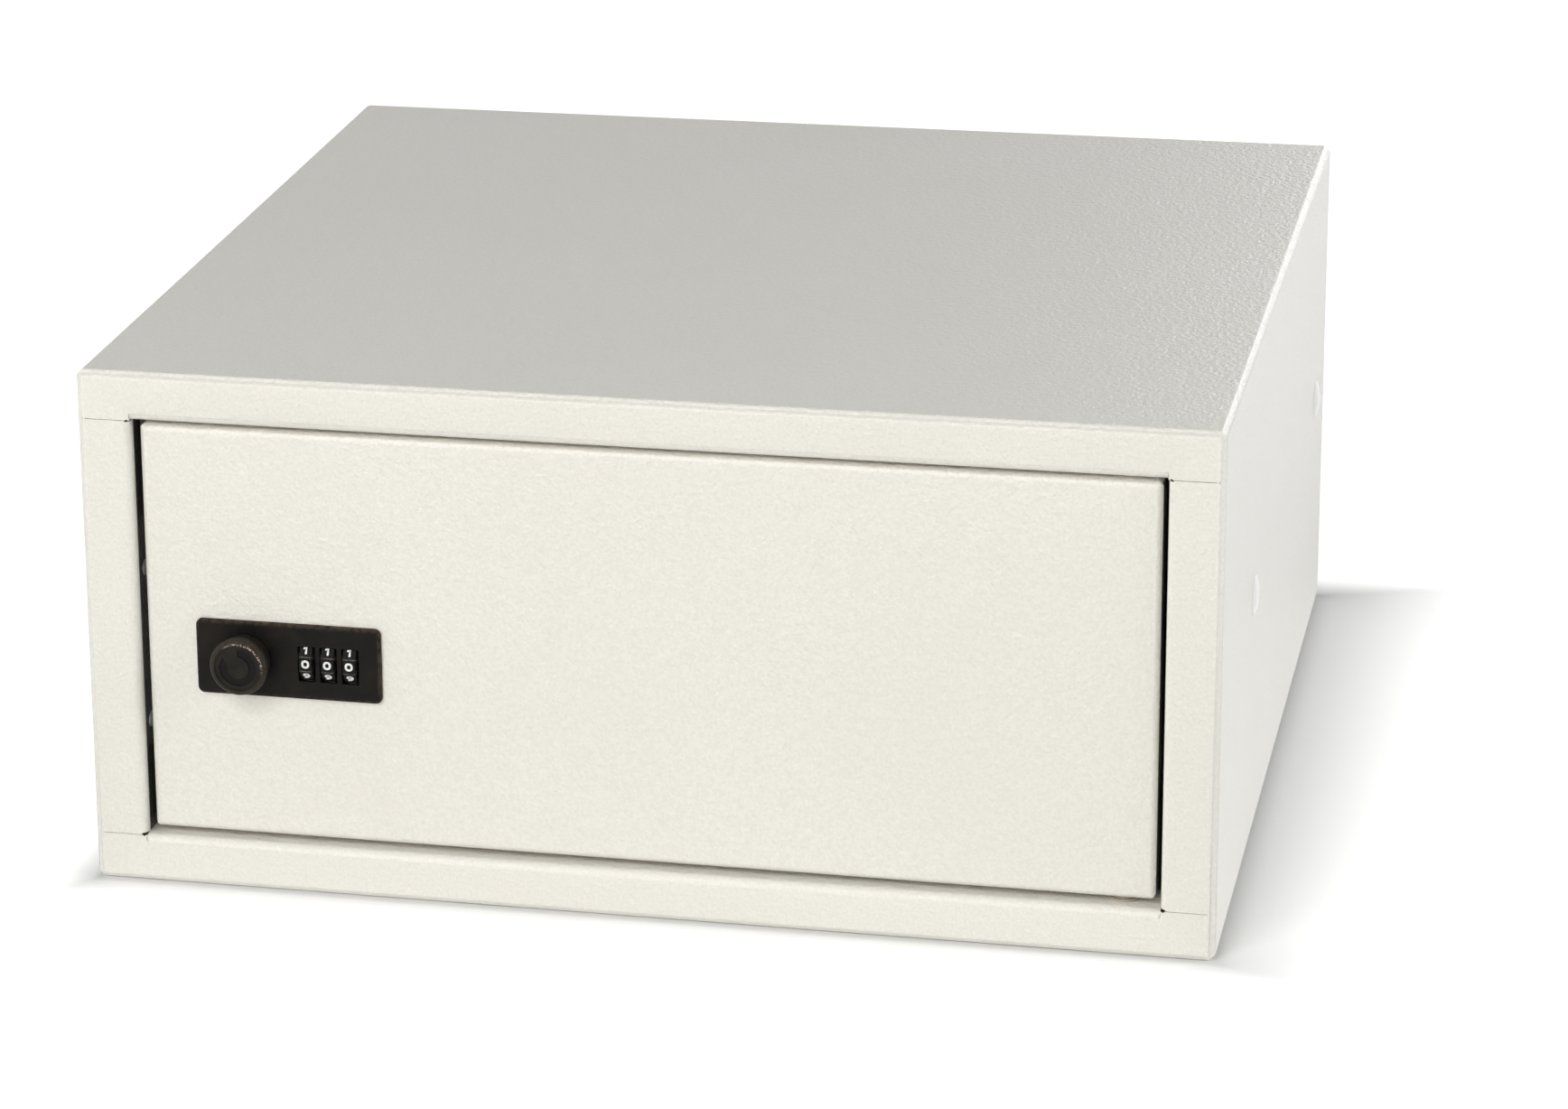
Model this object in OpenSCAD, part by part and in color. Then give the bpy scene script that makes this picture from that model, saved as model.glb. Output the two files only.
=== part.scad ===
// Hotel safe: folded steel cabinet, flush door on hidden pivots and a three-dial cam lock.
// Millimetres. X runs to the right seen from the front, Y runs back from the door, Z runs up.
// The origin is on the floor, at the centre of the cabinet's footprint.
// Modules place things by their depth behind the front face; from_front() sets them in the frame.

/* [Cabinet] */
// Width over the side walls
body_w = 420; // [380:1:480]
// Height from the floor to the top panel
body_h = 200; // [184:1:260]
// Depth from the front face to the rear edge
body_d = 400; // [340:1:450]
// Thickness of the cabinet's sheet steel
sheet_t = 2; // [1.5:0.1:2.4]
// Outer radius of the cabinet's bends
bend_r = 3; // [2.6:0.1:4]
// Height of the top and bottom front rails
rail_h = 18.5; // [17:0.5:24]
// Width of the upright stiles beside the door
stile_w = 20; // [18:0.5:26]
// Depth of the return lips behind the front face
lip_d = 20; // [18:0.5:22]
// Open seam where a stile butts against a rail
seam_gap = 0.2; // [0.15:0.05:0.4]
// Radius of the relief hole at the inner end of a seam
relief_r = 0.5; // [0.4:0.1:0.8]
// Depth of the flange round the back panel
back_flange = 15; // [10:1:30]
// How far the back panel sits inside the rear edge
back_inset = 1; // [0.5:0.5:4]

/* [Fixing holes] */
// Radius of the bolt holes in the floor and in the back
fix_hole_r = 5; // [3:0.5:7]
// Distance between the two bolt holes
fix_spacing = 280; // [200:5:320]
// Radius of the plugged holes in the sides
plug_hole_r = 6; // [5:0.5:8]
// Radius of a plug's head
plug_head_r = 8; // [7:0.5:11]
// Height of a plug's domed head
plug_dome = 1.6; // [0.8:0.1:2.5]
// Depth of the front side hole behind the front face
plug_front = 115; // [60:1:160]
// Distance from the rear side hole to the rear edge
plug_rear = 38; // [25:1:80]

/* [Door] */
// Thickness of the door's sheet steel
door_t = 2; // [1.5:0.1:2.4]
// How far the door's face sits behind the front face
door_recess = 4; // [3:0.5:6]
// Depth of the folded door pan
pan_d = 17; // [15:0.5:19]
// Gap beside the door
side_gap = 2.2; // [1.8:0.1:3]
// Gap above and below the door
end_gap = 2.1; // [2:0.1:3.2]
// Width of the returns at the rear of the door's side flanges
return_w = 12; // [8:0.5:16]
// Gap between the end of a return and the next flange
return_gap = 0.5; // [0.3:0.1:2]
// Width over the feet of the door's stiffener
hat_w = 64; // [50:1:90]
// Depth of the stiffener
hat_d = 10; // [6:0.5:12]
// Thickness of the stiffener's sheet
hat_t = 1.5; // [1:0.1:2]
// Distance from the door's middle to the stiffener's middle
hat_x = 30; // [0:1:80]

/* [Hinge] */
// Distance from the door's hinge edge to the pivot axis
pivot_in = 12; // [11:0.5:14]
// Distance from the door's face to the pivot axis
pivot_back = 8; // [7:0.5:9]
// Radius of the pivot pins
pin_r = 3; // [2.5:0.1:3.4]
// Running clearance round a pin
pin_clear = 0.05; // [0.02:0.01:0.09]
// Wall of a bush
bush_wall = 1; // [0.8:0.1:1.5]
// Thickness of a bush's flange
bush_flange = 1; // [0.8:0.1:1.2]

/* [Door stop] */
// Thickness of the strike angle
strike_t = 2; // [1.5:0.1:3]
// Width of the strike's leg behind the door
strike_leg = 18; // [16:0.5:19]
// Height of the strike angle
strike_h = 90; // [84:1:120]
// Height of a buffer in front of the strike
buffer_h = 2.5; // [2:0.1:4]
// Radius of a buffer
buffer_r = 4; // [3:0.5:4.5]

/* [Lock plate] */
// Width of the lock's front plate
plate_w = 70.5; // [69:0.5:74]
// Height of the plate
plate_h = 29; // [28:0.5:34]
// Thickness of the plate
plate_t = 2; // [1.5:0.1:2.5]
// Corner radius of the plate
plate_r = 2.5; // [1:0.5:4]
// Distance from the door's lock edge to the plate's middle
lock_in = 54.8; // [52:0.1:70]
// How far the plate's middle is below the door's middle
lock_drop = 9; // [0:0.5:14]
// Distance from the plate's end to the knob's axis
knob_in = 18.8; // [18:0.1:19]

/* [Knob and cam] */
// Radius of the knob at its front
knob_r = 11; // [8:0.1:12]
// How far the knob stands in front of the plate
knob_h = 10.5; // [8:0.5:14]
// Radius of the spindle's journal in the plate
journal_r = 6; // [5.5:0.1:6.5]
// Radius of the spindle's rear shaft
shaft_r = 4; // [3.8:0.1:4.2]
// Running clearance round the spindle
shaft_clear = 0.05; // [0.02:0.01:0.09]
// Radius of the eccentric that drives the slide
eccentric_r = 5; // [5:0.1:5.2]
// Length of the cam from the spindle's axis to its tip
cam_l = 36; // [33:0.5:37]
// Width of the cam's arm
cam_w = 12; // [10:0.5:14]
// Thickness of the cam
cam_t = 2; // [1.5:0.1:3]

/* [Dials] */
// Distance between two dials
dial_pitch = 8.3; // [8.1:0.05:8.3]
// Width of a dial
dial_w = 5; // [4.8:0.1:5]
// Size of a dial across its flat faces
dial_flats = 17.2; // [16.6:0.1:17.6]
// How far a dial's front face stands in front of the plate
dial_proud = 1.8; // [1.4:0.1:2]
// Distance from the plate's right end to the middle dial
dial_in = 20; // [19.5:0.05:20.25]
// Height of a dial's window
window_h = 13.7; // [13.2:0.1:15]
// How far a window's middle is below the dials' axis
window_drop = 0.65; // [0:0.05:0.8]
// Gap beside a dial in its window
window_gap = 0.7; // [0.3:0.05:0.8]
// Travel of the locking slide
slide_travel = 2; // [1.9:0.05:2.1]
// Thickness of a fin of the slide, and of a sleeve's gate disc
fin_t = 0.8; // [0.6:0.05:0.85]

/* [Hidden] */
$fn = 64;
// Overshoot of a cutting tool past the face that it cuts
cut = 1;
// Running gap between flat faces that pass each other
run_gap = 0.3;

// Door opening and door
open_w = body_w - 2 * stile_w;
open_h = body_h - 2 * rail_h;
door_w = open_w - 2 * side_gap;
door_h = open_h - 2 * end_gap;
door_z = rail_h + end_gap;
door_top = door_z + door_h;
pan_back = door_recess + pan_d;
door_face_back = door_recess + door_t;

// Number of dials, each of which has a node
dial_n = 3;

// Hinge axis
pivot_x = door_w / 2 - pivot_in;
pivot_y = door_recess + pivot_back;
pin_bore_r = pin_r + pin_clear;
pin_head_r = pin_r + 2;
pin_head_h = 2;
pin_reach = 6;
pin_chamfer = 1;
bush_r = pin_bore_r + bush_wall;
bush_flange_r = bush_r + 1;
bush_collar = 1.5;
bush_clear = 0.05;
washer_clear = 0.1;
clip_t = 0.8;
clip_r = pin_r + 2.5;
clip_groove_r = pin_r - 0.6;
clip_gap = 0.4;
clip_mouth = 3.6;
clip_top = door_top - door_t - bush_collar - clip_gap;

// Strike, stop and cam, in depth behind the front face
strike_y = pan_back + buffer_h;
strike_back = strike_y + strike_t;
strike_front = bend_r + 3;
lip_x = open_w / 2 + sheet_t;
buffer_stem_r = 1.9;
buffer_stem_clear = 0.1;
buffer_barb_r = 2.8;
buffer_barb_h = 1.6;
buffer_x = -lip_x + strike_leg - strike_t - buffer_r - 0.5;
buffer_rise = strike_h / 2 - buffer_r - 4;
rivet_r = 1.6;
rivet_head_r = 3;
rivet_head_h = 0.9;
rivet_y = (bend_r + lip_d) / 2;
rivet_rise = strike_h / 2 - 15;
cam_y = strike_back + run_gap;
cam_back = cam_y + cam_t;
cam_hub_r = 9;
cam_square = sqrt(2) * (shaft_r - 0.1);
square_clear = 0.05;
knob_square = sqrt(2) * (journal_r - 0.5);
cam_washer_r = 5;
cam_washer_t = 1;
cam_screw_r = 2;
cam_screw_head_r = 3.6;
cam_screw_head_h = 2.4;
cam_screw_l = 9;
thread_clear = 0.05;

// Lock plate and the axes in it
lock_x = -door_w / 2 + lock_in;
lock_z = body_h / 2 - lock_drop;
plate_y = door_recess - plate_t;
plate_bevel = 0.5;
knob_x = lock_x - plate_w / 2 + knob_in;
knob_socket = 6;
wheel_r = dial_flats / 2 / cos(18);
dial_y = plate_y - dial_proud + dial_flats / 2;
function dial_x(i) = lock_x + plate_w / 2 - dial_in + (i - 2) * dial_pitch;

// Locking slide and the gate discs of the sleeves, in the space between two dials
slide_y = dial_y + wheel_r + 0.45;
slide_t = 1.4;
slide_back = slide_y + slide_t;
slide_half = slide_travel / 2;
fin_w = 2;
fin_reach = 4.2;
bar_h = 5;
eccentric_throw = slide_half * sqrt(2);
yoke_clear = 0.1;
yoke_wall = 2.5;
yoke_half = eccentric_r + yoke_clear + yoke_wall;
gate_skin = 1.1;
gate_r = dial_y - plate_y - gate_skin - run_gap;
gate_w = fin_w + 0.5;
gate_floor_r = fin_reach - 0.4;
sleeve_r = 3.2;
axle_r = 2;
axle_clear = 0.05;
dog_n = 10;
dog_r = sleeve_r + 0.7;
dog_w = 0.9;
dog_clear = 0.1;
sleeve_gap = 0.1;
sleeve_left = dial_w / 2 + 2 * sleeve_gap - dial_pitch;
sleeve_right = dial_w / 2 + sleeve_gap;
axle_seat_clear = 0.02;
wheel_chamfer = 0.6;
wheel_clear = 0.15;

// Lock case behind the plate
case_wall = 1.8;
cavity_half = wheel_r + 0.96;
case_half = cavity_half + case_wall;
case_back = slide_back + run_gap;
cover_t = 1.2;
cover_back = case_back + cover_t;
front_wall_back = plate_y + 7;
driver_half = yoke_half + slide_half + run_gap;
dials_left = dial_x(1) + sleeve_left - sleeve_gap;
dials_right = dial_x(dial_n) + sleeve_right + sleeve_gap;
case_left = knob_x - driver_half - case_wall;
case_right = dials_right + case_wall;
case_mid = (knob_x + driver_half + dials_left) / 2;
cover_screw_r = 1.25;
cover_screw_head_r = 2.2;
cover_screw_head_h = 1.4;
cover_screw_l = 9;
cover_screw_rise = 7.5;
boss_r = 2.4;
boss_in = 3.75;
boss_clear = 0.3;
case_clear = 0.4;
clamp_t = 1.5;
clamp_margin = 0.5;
clamp_screw_r = 1.5;
clamp_screw_head_r = 2.3;
clamp_screw_head_h = 1.8;
clamp_screw_l = 4.4;
screw_slot_w = 0.7;
screw_slot_d = 0.7;
spring_t = 0.3;
spring_rise = 0.5;
spring_foot = 4;
spring_reach = 8;
axle_seat = 3;

// Code change screw, above the slide
code_x = dial_x(2);
code_z = lock_z + 6.3;
code_head_r = 2.7;
code_flange_r = 3.3;
code_flange_t = 1.3;
code_proud = 0.5;

// Colours
ivory = [0.90, 0.89, 0.85];
black = [0.10, 0.09, 0.09];
zinc = [0.70, 0.71, 0.72];
brass = [0.78, 0.62, 0.32];
nylon = [0.88, 0.87, 0.82];
rubber = [0.16, 0.16, 0.16];

// Places a shape that is drawn in depth behind the front face
module from_front() {
    translate([0, -body_d / 2, 0]) children();
}

// Extrudes a (depth, height) outline to the right
module along_x(x, len) {
    translate([x, 0, 0]) rotate([90, 0, 90]) linear_extrude(len) children();
}

// Extrudes an (x, height) outline towards the rear
module along_y(y, len) {
    translate([0, y + len, 0]) rotate([90, 0, 0]) linear_extrude(len) children();
}

// Extrudes an (x, depth) outline upwards
module along_z(z, len) {
    translate([0, 0, z]) linear_extrude(len) children();
}

// Rectangle about its centre with true round corners
module round_rect(w, h, r) {
    square([w - 2 * r, h], center = true);
    square([w, h - 2 * r], center = true);
    for (x = [-1, 1], y = [-1, 1])
        translate([x * (w / 2 - r), y * (h / 2 - r)]) circle(r);
}

// Block with its front face at depth 0, rounded along its four long edges and round its face
module round_block(w, h, d, r) {
    intersection() {
        along_y(0, d) translate([0, h / 2]) round_rect(w, h, r);
        along_x(-w / 2, w) translate([d / 2 + r, h / 2]) round_rect(d + 2 * r, h, r);
        along_z(0, h) translate([0, d / 2 + r]) round_rect(w, d + 2 * r, r);
    }
}

// Folded tray, closed at its front and open at its rear
module tray(w, h, d, r, t) {
    difference() {
        round_block(w, h, d, r);
        translate([0, t, t]) round_block(w - 2 * t, h - 2 * t, d, r - t);
    }
}

// Quarter bend about the origin, from the left side round to the top, and a straight lip after it
module lip_profile(r, t, run) {
    intersection() {
        difference() {
            circle(r);
            circle(r - t);
        }
        translate([-r, 0]) square(r);
    }
    translate([0, r - t]) square([run, t]);
}

// Shank and pan head of a screw along Y: the head's seat is at depth y and the shank points forward
module rear_screw(x, y, z, shank_r, len, head_r, head_h) {
    difference() {
        union() {
            along_y(y - len, len + head_h / 2) translate([x, z]) circle(shank_r);
            along_y(y, head_h) translate([x, z]) circle(head_r);
        }
        along_y(y + head_h - screw_slot_d, screw_slot_d + cut)
            translate([x, z]) square([2 * head_r + cut, screw_slot_w], center = true);
    }
}

// Cabinet

module stile_lip() {
    along_z(rail_h + seam_gap, open_h - 2 * seam_gap)
        translate([open_w / 2 + bend_r, bend_r]) rotate(90)
            lip_profile(bend_r, sheet_t, lip_d - bend_r);
}

module rail_lip() {
    along_x(-open_w / 2 - seam_gap, open_w + 2 * seam_gap)
        translate([bend_r, rail_h - bend_r]) lip_profile(bend_r, sheet_t, lip_d - bend_r);
}

// Clears the front plate where the rails and stiles bend back into their lips
module front_window() {
    bend_z = rail_h - bend_r;
    translate([-open_w / 2, -cut, bend_z]) cube([open_w, cut + bend_r, body_h - 2 * bend_z]);
    translate([-open_w / 2 - bend_r, -cut, rail_h])
        cube([open_w + 2 * bend_r, cut + bend_r, open_h]);
}

// Butt seams from the opening's corners to the outer bends, each with its relief hole
module corner_seams() {
    for (top = [0, 1], left = [0, 1])
        translate([0, 0, top * body_h]) mirror([0, 0, top]) mirror([left, 0, 0]) {
            translate([open_w / 2 + bend_r - cut, -cut, rail_h])
                cube([stile_w - 2 * bend_r + cut, cut + bend_r, seam_gap]);
            along_y(-cut, cut + bend_r)
                translate([open_w / 2 + 2 * relief_r, rail_h + seam_gap / 2]) circle(relief_r);
        }
}

module side_holes(r) {
    for (y = [plug_front, body_d - plug_rear])
        along_x(-body_w / 2 - cut, body_w + 2 * cut) translate([y, body_h / 2]) circle(r);
}

module body_shell() color(ivory) from_front() difference() {
    union() {
        difference() {
            tray(body_w, body_h, body_d, bend_r, sheet_t);
            front_window();
        }
        for (top = [0, 1])
            translate([0, 0, top * body_h]) mirror([0, 0, top]) rail_lip();
        for (left = [0, 1])
            mirror([left, 0, 0]) stile_lip();
    }
    for (z = [rail_h - sheet_t, body_h - rail_h])
        along_z(z - cut, sheet_t + 2 * cut) translate([pivot_x, pivot_y]) circle(pin_bore_r);
    corner_seams();
    for (x = [-1, 1])
        along_z(-cut, sheet_t + 2 * cut) translate([x * fix_spacing / 2, body_d / 2]) circle(fix_hole_r);
    side_holes(plug_hole_r);
    for (z = [-1, 1])
        along_x(-lip_x - cut, sheet_t + 2 * cut)
            translate([rivet_y, lock_z + z * rivet_rise]) circle(rivet_r);
}

module back_panel() color(ivory) from_front()
    translate([0, body_d - back_inset, sheet_t]) mirror([0, 1, 0]) difference() {
        tray(body_w - 2 * sheet_t, body_h - 2 * sheet_t, back_flange, bend_r, sheet_t);
        for (x = [-1, 1])
            along_y(-cut, sheet_t + 2 * cut)
                translate([x * fix_spacing / 2, body_h / 2 - sheet_t]) circle(fix_hole_r);
    }

// Snap-in plug about +Z: the head sits on Z = 0 and the hollow shank points down
module blanking_plug() {
    dome_r = (plug_head_r * plug_head_r + plug_dome * plug_dome) / (2 * plug_dome);
    shank_r = plug_hole_r - 0.1;
    shank_l = sheet_t + 5;
    bead_r = 0.5;
    rotate_extrude() {
        intersection() {
            translate([0, plug_dome - dome_r]) circle(dome_r, $fn = 256);
            square([plug_head_r, plug_dome]);
        }
        translate([shank_r - 1, -shank_l]) square([1, shank_l]);
        intersection() {
            translate([shank_r, -sheet_t - 0.2 - bead_r]) circle(bead_r);
            translate([shank_r - 1, -shank_l]) square([2, shank_l]);
        }
    }
}

module side_plugs() color(ivory) from_front()
    for (side = [0, 1], y = [plug_front, body_d - plug_rear])
        mirror([side, 0, 0]) translate([body_w / 2, y, body_h / 2]) rotate([0, 90, 0]) blanking_plug();

// Hinge pin about +Z: its head is under Z = 0 and its chamfered shank points up
module pivot_pin(reach, groove_z) {
    rotate_extrude() difference() {
        union() {
            translate([0, -pin_head_h]) square([pin_head_r, pin_head_h]);
            square([pin_r, reach - pin_chamfer]);
            polygon([[0, reach - pin_chamfer], [pin_r, reach - pin_chamfer],
                [pin_r - pin_chamfer, reach], [0, reach]]);
        }
        if (groove_z > 0)
            translate([clip_groove_r, groove_z]) square([pin_r, clip_t]);
    }
}

module lower_pivot_pin() color(zinc) from_front()
    translate([pivot_x, pivot_y, rail_h - sheet_t])
        pivot_pin(sheet_t + end_gap + door_t + pin_reach, 0);

module upper_pivot_pin() color(zinc) from_front()
    translate([pivot_x, pivot_y, body_h - rail_h + sheet_t]) mirror([0, 0, 1])
        pivot_pin(sheet_t + end_gap + door_t + pin_reach, body_h - rail_h + sheet_t - clip_top);

module pin_clip() color(zinc) from_front()
    along_z(clip_top - clip_t, clip_t) translate([pivot_x, pivot_y]) difference() {
        circle(clip_r);
        circle(clip_groove_r);
        translate([-clip_mouth / 2, 0]) square([clip_mouth, clip_r + cut]);
    }

module pivot_washer() color(nylon) from_front()
    along_z(rail_h, end_gap - bush_flange - washer_clear) translate([pivot_x, pivot_y]) difference() {
        circle(bush_flange_r + 1);
        circle(pin_bore_r);
    }

module strike_angle() color(zinc) from_front() {
    leg_a = strike_back - bend_r - strike_front;
    difference() {
        along_z(lock_z - strike_h / 2, strike_h)
            translate([-lip_x - strike_t + bend_r, strike_back - bend_r]) {
                lip_profile(bend_r, strike_t, strike_leg - bend_r);
                translate([-bend_r, -leg_a]) square([strike_t, leg_a]);
            }
        for (z = [-1, 1]) {
            along_y(strike_y - cut, strike_t + 2 * cut)
                translate([buffer_x, lock_z + z * buffer_rise]) circle(buffer_stem_r + buffer_stem_clear);
            along_x(-lip_x - strike_t - cut, strike_t + 2 * cut)
                translate([rivet_y, lock_z + z * rivet_rise]) circle(rivet_r);
        }
    }
}

// Rivets through the lip and the strike, closed on both sides
module strike_rivets() color(zinc) from_front()
    for (z = [-1, 1])
        translate([-open_w / 2, rivet_y, lock_z + z * rivet_rise]) rotate([0, 90, 0]) {
            translate([0, 0, -sheet_t - strike_t]) cylinder(r = rivet_r, h = sheet_t + strike_t);
            cylinder(r1 = rivet_head_r, r2 = rivet_r, h = rivet_head_h);
            translate([0, 0, -sheet_t - strike_t - rivet_head_h])
                cylinder(r = rivet_head_r - 0.5, h = rivet_head_h);
        }

module door_buffers() color(rubber) from_front()
    for (z = [-1, 1])
        translate([buffer_x, strike_y, lock_z + z * buffer_rise]) rotate([90, 0, 0]) rotate_extrude() {
            square([buffer_r, buffer_h - 0.5]);
            square([buffer_r - 0.5, buffer_h]);
            translate([0, -strike_t]) square([buffer_stem_r, strike_t]);
            translate([0, -strike_t - buffer_barb_h]) square([buffer_stem_r, buffer_barb_h]);
            polygon([[0, -strike_t], [buffer_barb_r, -strike_t],
                [buffer_stem_r, -strike_t - buffer_barb_h], [0, -strike_t - buffer_barb_h]]);
        }

// Door

// Returns at the rear of the side flanges, which end short of the flanges above and below
module door_returns() {
    return_z = door_z + door_t + return_gap;
    for (side = [0, 1])
        mirror([side, 0, 0]) along_z(return_z, door_h - 2 * (door_t + return_gap))
            translate([-door_w / 2 + bend_r, pan_back - bend_r])
                lip_profile(bend_r, door_t, return_w - bend_r);
}

module door_panel() color(ivory) from_front() difference() {
    union() {
        difference() {
            translate([0, door_recess, door_z]) tray(door_w, door_h, pan_d, bend_r, door_t);
            for (side = [0, 1])
                mirror([side, 0, 0])
                    translate([door_w / 2 - bend_r, pan_back - bend_r, door_z - cut])
                        cube([bend_r + cut, bend_r + cut, door_h + 2 * cut]);
        }
        door_returns();
    }
    for (z = [door_z, door_top - door_t])
        along_z(z - cut, door_t + 2 * cut) translate([pivot_x, pivot_y]) circle(bush_r + bush_clear);
    along_y(door_recess - cut, door_t + 2 * cut) {
        translate([(case_left + case_right) / 2, lock_z])
            round_rect(case_right - case_left + 2 * case_clear, 2 * (case_half + case_clear), 1);
        for (x = [-1, 1])
            translate([lock_x + x * (plate_w / 2 - boss_in), lock_z]) circle(boss_r + boss_clear);
    }
}

module door_stiffener() color(ivory) from_front() {
    crown_w = hat_w / 2;
    hat_r = hat_t + 1;
    hat_gap = 1;
    along_z(door_z + door_t + hat_gap, door_h - 2 * (door_t + hat_gap))
        translate([hat_x, door_face_back]) difference() {
            intersection() {
                union() {
                    round_rect(crown_w, 2 * hat_d, hat_r);
                    translate([-hat_w / 2, 0]) square([hat_w, hat_t]);
                }
                translate([-hat_w / 2, 0]) square([hat_w, hat_d]);
            }
            round_rect(crown_w - 2 * hat_t, 2 * (hat_d - hat_t), hat_r - hat_t);
        }
}

// Flanged bush about +Z: its flange is under Z = 0 and its sleeve points up through the sheet
module bush() {
    rotate_extrude() {
        translate([pin_bore_r, 0]) square([bush_wall, door_t + bush_collar]);
        translate([pin_bore_r, -bush_flange]) square([bush_flange_r - pin_bore_r, bush_flange]);
    }
}

module lower_bush() color(nylon) from_front() translate([pivot_x, pivot_y, door_z]) bush();

module upper_bush() color(nylon) from_front()
    translate([pivot_x, pivot_y, door_top]) mirror([0, 0, 1]) bush();

// Lock

// Curved arrow about the knob's axis, pointing up on the left, to show which way it turns
module turn_arrow_2d(ring_r) {
    ring_w = 2.8;
    head_w = 4;
    head_l = 4.4;
    head_z = -0.4;
    difference() {
        circle(ring_r + ring_w / 2);
        circle(ring_r - ring_w / 2);
        translate([-2 * ring_r, 0]) square([2 * ring_r, 2 * ring_r]);
    }
    translate([-ring_r, head_z]) polygon([[-head_w / 2, 0], [head_w / 2, 0], [0, head_l]]);
}

module knob() color(black) from_front() {
    rim_r = 2;
    draft = 1.3;
    dish_r = knob_r - 2.6;
    dish_d = 0.4;
    arrow_d = 0.4;
    back_y = plate_y - run_gap;
    body_l = knob_h - run_gap;
    difference() {
        translate([knob_x, back_y, lock_z]) rotate([90, 0, 0]) rotate_extrude() difference() {
            union() {
                polygon([[0, 0], [knob_r - draft, 0], [knob_r, body_l - rim_r], [0, body_l - rim_r]]);
                square([knob_r - rim_r, body_l]);
                translate([knob_r - rim_r, body_l - rim_r]) intersection() {
                    circle(rim_r);
                    square(rim_r);
                }
            }
            translate([0, body_l - dish_d]) square([dish_r, dish_d + cut]);
        }
        along_y(plate_y - knob_h - cut, cut + dish_d + arrow_d)
            translate([knob_x, lock_z]) turn_arrow_2d(2 / 3 * dish_r);
        along_y(back_y - knob_socket, knob_socket + cut) translate([knob_x, lock_z])
            square(knob_square + 2 * square_clear, center = true);
    }
}

module spindle() color(zinc) from_front() {
    collar_r = journal_r + 1.5;
    collar_t = 1.9;
    collar_y = front_wall_back + 0.1;
    offset_x = -slide_half;
    offset_z = slide_half;
    translate([knob_x, 0, lock_z]) difference() {
        union() {
            along_y(plate_y - run_gap - knob_socket + 0.1, knob_socket) square(knob_square, center = true);
            along_y(plate_y - run_gap, collar_y - plate_y + run_gap) circle(journal_r);
            along_y(collar_y, collar_t) circle(collar_r);
            along_y(collar_y, cam_y - collar_y) circle(shaft_r);
            along_y(slide_y - 0.1, slide_t + 0.2) translate([offset_x, offset_z]) circle(eccentric_r);
            along_y(cam_y, cam_t - 0.1) square(cam_square, center = true);
        }
        along_y(cam_back - cam_screw_l - 0.5, cam_screw_l + cut) circle(cam_screw_r + thread_clear);
    }
}

module cam() color(zinc) from_front()
    along_y(cam_y, cam_t) translate([knob_x, lock_z]) difference() {
        union() {
            circle(cam_hub_r);
            translate([-cam_w / 2, -cam_l + cam_w / 2]) square([cam_w, cam_l - cam_w / 2]);
            translate([0, -cam_l + cam_w / 2]) circle(cam_w / 2);
        }
        square(cam_square + 2 * square_clear, center = true);
    }

module cam_washer() color(zinc) from_front()
    along_y(cam_back, cam_washer_t) translate([knob_x, lock_z]) difference() {
        circle(cam_washer_r);
        circle(cam_screw_r + thread_clear);
    }

module cam_screw() color(zinc) from_front()
    rear_screw(knob_x, cam_back + cam_washer_t, lock_z, cam_screw_r, cam_screw_l,
        cam_screw_head_r, cam_screw_head_h);

module lock_housing() color(black) from_front() difference() {
    union() {
        along_y(plate_y + plate_bevel, plate_t - plate_bevel)
            translate([lock_x, lock_z]) round_rect(plate_w, plate_h, plate_r);
        along_y(plate_y, plate_t) translate([lock_x, lock_z])
            round_rect(plate_w - 2 * plate_bevel, plate_h - 2 * plate_bevel, plate_r - plate_bevel);
        translate([case_left, plate_y + plate_bevel, lock_z - case_half])
            cube([case_right - case_left, case_back - plate_y - plate_bevel, 2 * case_half]);
        for (x = [-1, 1])
            along_y(door_recess - plate_bevel, plate_bevel + door_t)
                translate([lock_x + x * (plate_w / 2 - boss_in), lock_z]) circle(boss_r);
    }
    // Spindle bore and the space for the eccentric and the slide's yoke
    along_y(plate_y - cut, front_wall_back) translate([knob_x, lock_z]) circle(journal_r + shaft_clear);
    along_y(front_wall_back, case_back) translate([knob_x, lock_z])
        square(2 * driver_half, center = true);
    // Channel for the slide's bar
    translate([knob_x, slide_y - run_gap, lock_z - bar_h / 2 - run_gap])
        cube([dials_left - knob_x + cut, case_back, bar_h + 2 * run_gap]);
    // Space for the dials, their windows and their axle
    translate([dials_left, door_recess, lock_z - cavity_half])
        cube([dials_right - dials_left, case_back, 2 * cavity_half]);
    along_x(dials_left, dials_right - dials_left)
        translate([dial_y, lock_z]) circle(gate_r + run_gap);
    for (i = [1 : dial_n]) {
        window_w = dial_w + 2 * window_gap;
        along_y(plate_y - cut, plate_t + 2 * cut)
            translate([dial_x(i), lock_z - window_drop]) square([window_w, window_h], center = true);
        along_x(dial_x(i) - window_w / 2, window_w)
            translate([dial_y, lock_z]) circle(wheel_r + wheel_clear);
    }
    along_x(dials_left - axle_seat, case_right - dials_left + axle_seat + cut)
        translate([dial_y, lock_z]) circle(axle_r + axle_seat_clear);
    // Threaded holes for the clamp screws and the cover screws
    for (x = [-1, 1])
        along_y(plate_y + 0.8, case_back)
            translate([lock_x + x * (plate_w / 2 - boss_in), lock_z])
                circle(clamp_screw_r + thread_clear);
    for (z = [-1, 1])
        along_y(case_back - cover_screw_l, case_back)
            translate([case_mid, lock_z + z * cover_screw_rise]) circle(cover_screw_r + thread_clear);
}

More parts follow.
